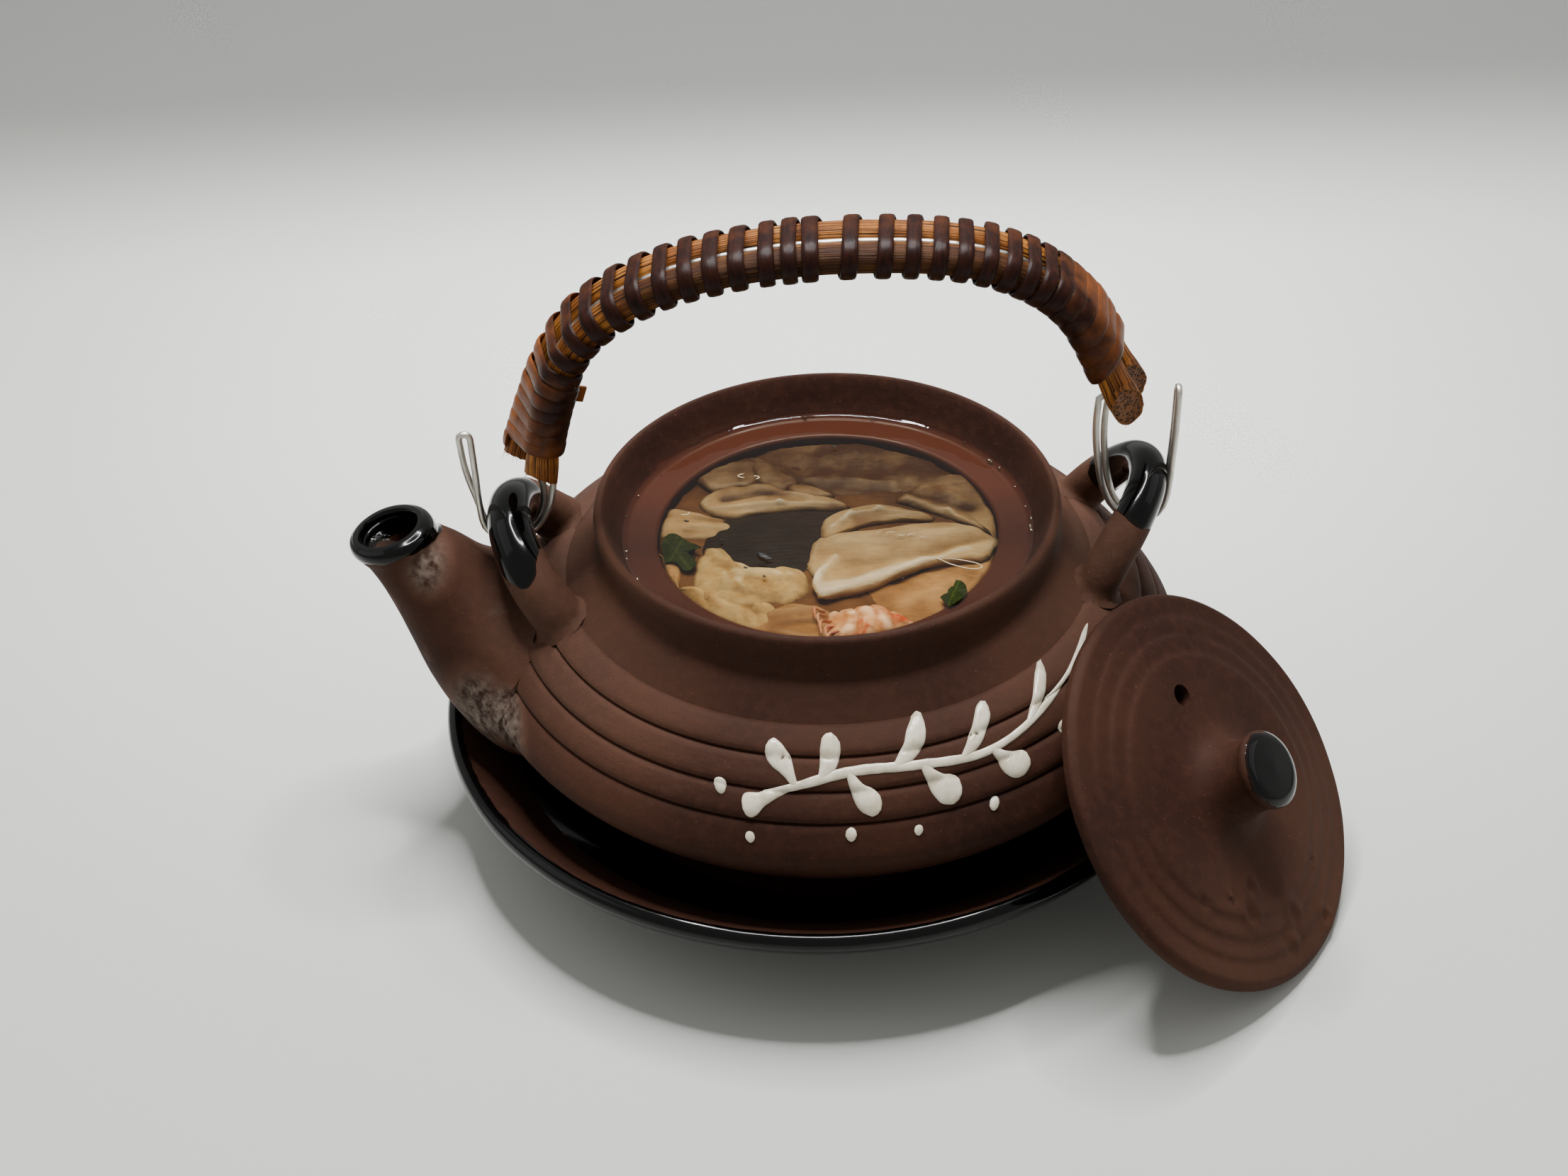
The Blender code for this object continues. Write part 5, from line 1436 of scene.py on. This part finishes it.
leafSurface = leafBlade(leafLook)
leafShape = {"thick": 0.16, "spine": (0.35, 1.0), "ribGap": 1.3, "spineWide": 0.13, "ribWide": 0.09,
             "floating": [(-1.7, -2.1), (-1.45, -2.9), (-1.0, -3.8), (-0.3, -3.3), (0.6, -2.7), (1.6, -1.25),
                          (2.25, 0.05), (2.15, 1.7), (1.7, 2.6), (1.15, 3.05), (0.5, 3.1), (0.3, 2.4), (0.1, 1.5),
                          (-0.3, 1.5), (-1.0, 0.9), (-1.0, 0.25), (-1.7, -0.05), (-2.3, -0.8)],
             "sunken": [(-2.6, 2.1), (-2.1, -0.75), (-1.9, -2.8), (-0.7, -3.1), (0.4, -3.7), (1.2, -4.9),
                        (2.0, -5.3), (2.75, -5.2), (3.4, -4.35), (3.4, -3.3), (3.05, -2.3), (3.3, -1.85),
                        (2.8, -1.45), (2.1, -0.45), (1.85, 0.0), (2.8, 0.25), (3.7, 0.35), (4.4, 0.65),
                        (3.6, 1.1), (3.25, 1.75), (2.3, 2.7), (1.5, 3.8), (0.0, 4.6), (-1.3, 5.1), (-2.0, 4.5)]}


def makeLeaf(shape, name, node, centre, outline, tilt, wavy, seed):
    total = len(outline)
    centre, spine = Vector(centre), Vector(shape["spine"]).normalized()
    bm = bmesh.new()
    bmesh.ops.create_circle(bm, cap_ends=True, cap_tris=True, segments=total * 5, radius=1.0)
    bmesh.ops.subdivide_edges(bm, edges=[e for e in bm.edges if not e.is_boundary], cuts=5)
    for vert in bm.verts:
        # the round sheet is drawn out to the serrated outline
        far = vert.co.to_2d().length
        at = (math.atan2(vert.co.y, vert.co.x) / math.tau + 0.64) % 1.0 * total
        low = int(at) % total
        spot = Vector(outline[low]).lerp(Vector(outline[(low + 1) % total]), at % 1.0) * far
        rise = wavy * (0.5 * math.sin(1.6 * spot.x + seed) * far + 0.6 * wave(spot.to_3d(), 2.0, seed))
        vert.co = (Vector((*spot, rise + tilt * spot.y)) + centre) * mm
    bmesh.ops.triangulate(bm, faces=bm.faces)
    bmesh.ops.recalc_face_normals(bm, faces=bm.faces)
    bmesh.ops.solidify(bm, geom=bm.faces, thickness=shape["thick"] * mm)
    obj = ridesWith(name, bm, leafSurface, "pot_on_saucer", [node] if node else (), sharp=50)

    def vein(co):
        # a line along the spine, and ribs that slant off it
        own = (co - centre).to_2d()
        along, over = own.dot(spine), own.x * spine.y - own.y * spine.x
        half = shape["ribGap"] / 2
        rib = abs((along - 0.9 * abs(over)) % shape["ribGap"] - half) - half
        return 0.8 * max(bell(over, shape["spineWide"]), 0.6 * bell(rib, shape["ribWide"]))

    giveAttribute(obj, "vein", vein)


makeLeaf(leafShape, "floatingLeaf", "mitsuba_leaf", (20.3, -19.3, 54.0), leafShape["floating"], 0.03, 0.35, 1.0)
makeLeaf(leafShape, "sunkenLeaf", None, (-25.8, -4.1, 53.2), leafShape["sunken"], 0.02, 0.5, 2.0)
print("leaves done")


# On the soup's skin: fat beads and bubbles round the edge, white arcs that paint highlights, one white strand, dark
# flecks

# highlight curls and flecks are x, y and size
skinShape = {"curls": [(-14.0, 16.6, 1.8), (-12.2, 15.9, 1.5), (-24.4, 6.0, 1.6), (9.0, -1.7, 1.0),
                       (10.7, -2.0, 1.3), (12.5, -2.4, 1.1), (14.2, -2.8, 1.3), (16.0, -3.1, 1.0)],
             "threadLift": 0.03, "strandThick": 0.10, "curlThick": 0.08, "curlTurns": (0, 0.8, 1.6, 2.4, 3.1),
             "beads": 30, "beadSizes": (0.16, 0.42), "beadR": 34.3, "beadLift": 0.18, "fleckLift": 0.45,
             "beadArcs": [(1.2, 2.4), (-0.2, 0.9), (2.6, 3.9)],
             "strand": [(18.0, -9.6), (21.0, -10.0), (24.6, -11.4), (25.4, -12.6), (23.6, -12.9), (20.6, -11.6),
                        (17.6, -9.4), (14.8, -9.0)],
             "flecks": [(-11.2, -7.6, 1.5), (-10.2, -8.6, 0.9), (-14.0, -11.0, 0.5), (-11.0, -13.6, 0.5),
                        (-18.0, -3.0, 0.5), (2.0, 24.0, 0.5), (12.0, -15.5, 0.4), (-24.0, 3.0, 0.6)]}


def plainSurface(name, tone, rough, glassy=0.0):
    # one tone, a little cloudy
    material, add, shader, place = blankMaterial(name)
    cloud = add("TexNoise", {"Vector": place, "Scale": 1000 / 0.6, "Detail": 2.0})
    shade = add("MapRange", {"Value": cloud, 1: 0.3, 2: 0.7, 3: 0.75, 4: 1.0})
    colour = add("Mix", {0: 1.0, 6: paint(tone), 7: shade}, data_type="RGBA", blend_type="MULTIPLY")
    feed(shader, {"Base Color": colour, "Roughness": rough, "Transmission Weight": glassy})
    return material


strandAndHighlightSurface = plainSurface("whiteThreadAndPaintedHighlight", "#d9c6a2", 0.25)
beadSurface = plainSurface("fatBead", "#fff6e2", 0.03, glassy=1.0)
fleckSurface = plainSurface("darkHerbFleck", "#140c05", 0.5)


def softLine(points, thick, step=0.12):
    # a thread that is thin at both ends and a little flattened
    path = throughPoints(points, step)[0]
    count = len(path) - 1

    def skin(u, v):
        low = min(int(v * count), count - 1)
        spot = path[low].lerp(path[low + 1], v * count - low)
        side = (path[low + 1] - path[low]).normalized().cross(Vector((0, 0, 1))).normalized()
        wide = thick * math.sqrt(max(0.02, 1 - (2 * v - 1) ** 4))
        return spot + (side * math.cos(u * math.tau) + Vector((0, 0, 0.7)) * math.sin(u * math.tau)) * wide
    return wrappedTube(8, count, skin)


def makeThreads(shape, level):
    # one long white strand, and small white arcs that paint highlights on the soup's skin
    high = level + shape["threadLift"]
    threads = [softLine([(x, y, high) for x, y in shape["strand"]], shape["strandThick"])]
    for x, y, size in shape["curls"]:
        turn = rng.uniform(0, math.tau)
        arc = [(x + size * 0.5 * math.cos(turn + t) * (1 + 0.25 * rng.random()),
                y + size * 0.32 * math.sin(turn + t), high) for t in shape["curlTurns"]]
        threads.append(softLine(arc, shape["curlThick"]))
    ridesWith("strandAndHighlightCurls", joined(threads), strandAndHighlightSurface, "pot_on_saucer", sharp=80)


def makeBeads(shape, level):
    # flattened beads of fat along the pot's wall
    beads = []
    for number in range(shape["beads"]):
        turn = rng.choice([rng.uniform(*arc) for arc in shape["beadArcs"]])
        far = shape["beadR"] + 0.5 * rng.random()
        place = Vector((far * math.cos(turn), far * math.sin(turn), level + shape["beadLift"]))
        bead = bmesh.new()
        bmesh.ops.create_icosphere(bead, subdivisions=3, radius=rng.uniform(*shape["beadSizes"]) * mm)
        bmesh.ops.scale(bead, verts=bead.verts, vec=(1, 1, 0.6))
        bmesh.ops.translate(bead, verts=bead.verts, vec=place * mm)
        beads.append(bead)
    ridesWith("fatBeads", joined(beads), beadSurface, "pot_on_saucer", sharp=80)


def makeFlecks(shape, level):
    # flat dark scraps of herb
    flecks = []
    for x, y, size in shape["flecks"]:
        fleck = bmesh.new()
        bmesh.ops.create_icosphere(fleck, subdivisions=2, radius=0.5 * mm)
        for vert in fleck.verts:
            vert.co *= 1 + 0.4 * wave(vert.co / mm, 0.5, x)
        bmesh.ops.scale(fleck, verts=fleck.verts, vec=(size * 1.6, size * 0.7, 0.25))
        bmesh.ops.rotate(fleck, verts=fleck.verts, matrix=Matrix.Rotation(rng.uniform(-0.9, 0.3), 3, "Z"))
        bmesh.ops.translate(fleck, verts=fleck.verts, vec=Vector((x, y, level + shape["fleckLift"])) * mm)
        flecks.append(fleck)
    ridesWith("herbFlecks", joined(flecks), fleckSurface, "pot_on_saucer", sharp=60)


for make in (makeThreads, makeBeads, makeFlecks):
    make(skinShape, soupShape["level"])
print("soup skin done")


# Stage, light and camera

# Matt pale sweep with painted shade where the light falls off; gap and depth, in metres, are the distances over which
# it turns darker
floorLook = {"near": "#e4e4e1", "far": "#bcbdb8", "back": "#757572", "middle": (0.0, 0.15, 0.0),
             "gap": (0.02, 0.24), "depth": (0.17, 0.27), "dullness": 0.7, "size": 4.0}


def matteFloor(look):
    material, add, shader, place = blankMaterial("paleSweep")
    depth = add("SeparateXYZ", {"Vector": place}, out="Y")
    gap = add("VectorMath", {0: place, 1: look["middle"]}, operation="DISTANCE")
    colour = paint(look["near"])
    for value, reach, over in ((gap, look["gap"], look["far"]), (depth, look["depth"], look["back"])):
        share = add("MapRange", {"Value": value, 1: reach[0], 2: reach[1]}, interpolation_type="SMOOTHSTEP")
        colour = add("Mix", {0: share, 6: colour, 7: paint(over)}, data_type="RGBA")
    feed(shader, {"Base Color": colour, "Roughness": look["dullness"]})
    return material


def glowing(name, power):
    # an even white glow with no shading of its own
    material, add, shader, _ = blankMaterial(name)
    return ownSurface(material, shader, {"Surface": add("Emission", {"Color": (1, 1, 1, 1), "Strength": power})})


def makeFloor(look):
    bm = bmesh.new()
    bmesh.ops.create_grid(bm, x_segments=2, y_segments=2, size=look["size"])
    floor = looseMesh("floorSweep", bm)
    floor.data.materials.append(matteFloor(look))
    return floor


lightSetup = {"ringHigh": 0.55, "ringR": 0.13, "ringThick": 0.012, "ringAt": (0.0, 0.13), "ringPower": 121.0,
              "panelAt": (0.75, 0.05, 0.62), "panelSize": 0.30, "panelPower": 1.1,
              "skyTone": "#f3f3f0", "skyPower": 0.56}


def makeRingLamp(setup):
    # the round tube that the broth mirrors
    bm = bmesh.new()
    bmesh.ops.create_circle(bm, segments=24, radius=setup["ringThick"])
    bmesh.ops.rotate(bm, verts=bm.verts, matrix=Matrix.Rotation(math.pi / 2, 3, "X"))
    bmesh.ops.translate(bm, verts=bm.verts, vec=(setup["ringR"], 0, 0))
    bmesh.ops.spin(bm, geom=list(bm.verts) + list(bm.edges), cent=(0, 0, 0), axis=(0, 0, 1), angle=math.tau,
                   steps=64, use_merge=True)
    bmesh.ops.translate(bm, verts=bm.verts, vec=(*setup["ringAt"], setup["ringHigh"]))
    lamp = looseMesh("ringLamp", bm)
    lamp.data.materials.append(glowing("lampTube", setup["ringPower"]))
    return lamp


def makePanels(setup):
    # one on each side, facing the pot
    bm = bmesh.new()
    for side in (-1, 1):
        at = Vector(setup["panelAt"]) * Vector((side, 1, 1))
        facing = Vector((0, 0, 1)).rotation_difference(-at).to_matrix().to_4x4()
        facing.translation = at
        bmesh.ops.create_grid(bm, x_segments=1, y_segments=1, size=setup["panelSize"], matrix=facing)
    panels = looseMesh("softPanels", bm)
    panels.data.materials.append(glowing("panelCloth", setup["panelPower"]))
    return panels


floor = makeFloor(floorLook)
ringLamp = makeRingLamp(lightSetup)
softPanels = makePanels(lightSetup)

world = bpy.data.worlds.new("softBox")
bpy.context.scene.world = world
world.use_nodes = True
feed(world.node_tree.nodes["Background"], {"Color": paint(lightSetup["skyTone"]),
                                           "Strength": lightSetup["skyPower"]})

cameraSetup = {"at": (-7.74, -440.5, 371.0), "pitch": 36.79, "roll": -1.95, "lens": 73.24, "sensor": 36.0}


def placeCamera(setup):
    data = bpy.data.cameras.new("photoCamera")
    data.sensor_width = setup["sensor"]
    data.lens = setup["lens"]
    data.clip_start = 0.01
    camera = bpy.data.objects.new("photoCamera", data)
    bpy.context.scene.collection.objects.link(camera)
    pitch, roll = math.radians(setup["pitch"]), math.radians(setup["roll"])
    up = Vector((0, math.sin(pitch), math.cos(pitch)))
    back = Vector((0, -math.cos(pitch), math.sin(pitch)))
    side = Vector((1, 0, 0))
    right = side * math.cos(roll) + up * math.sin(roll)
    top = up * math.cos(roll) - side * math.sin(roll)
    turn = Matrix((right, top, back)).transposed().to_4x4()
    turn.translation = Vector(setup["at"]) * mm
    camera.matrix_world = turn
    bpy.context.scene.camera = camera


placeCamera(cameraSetup)
print("stage done")
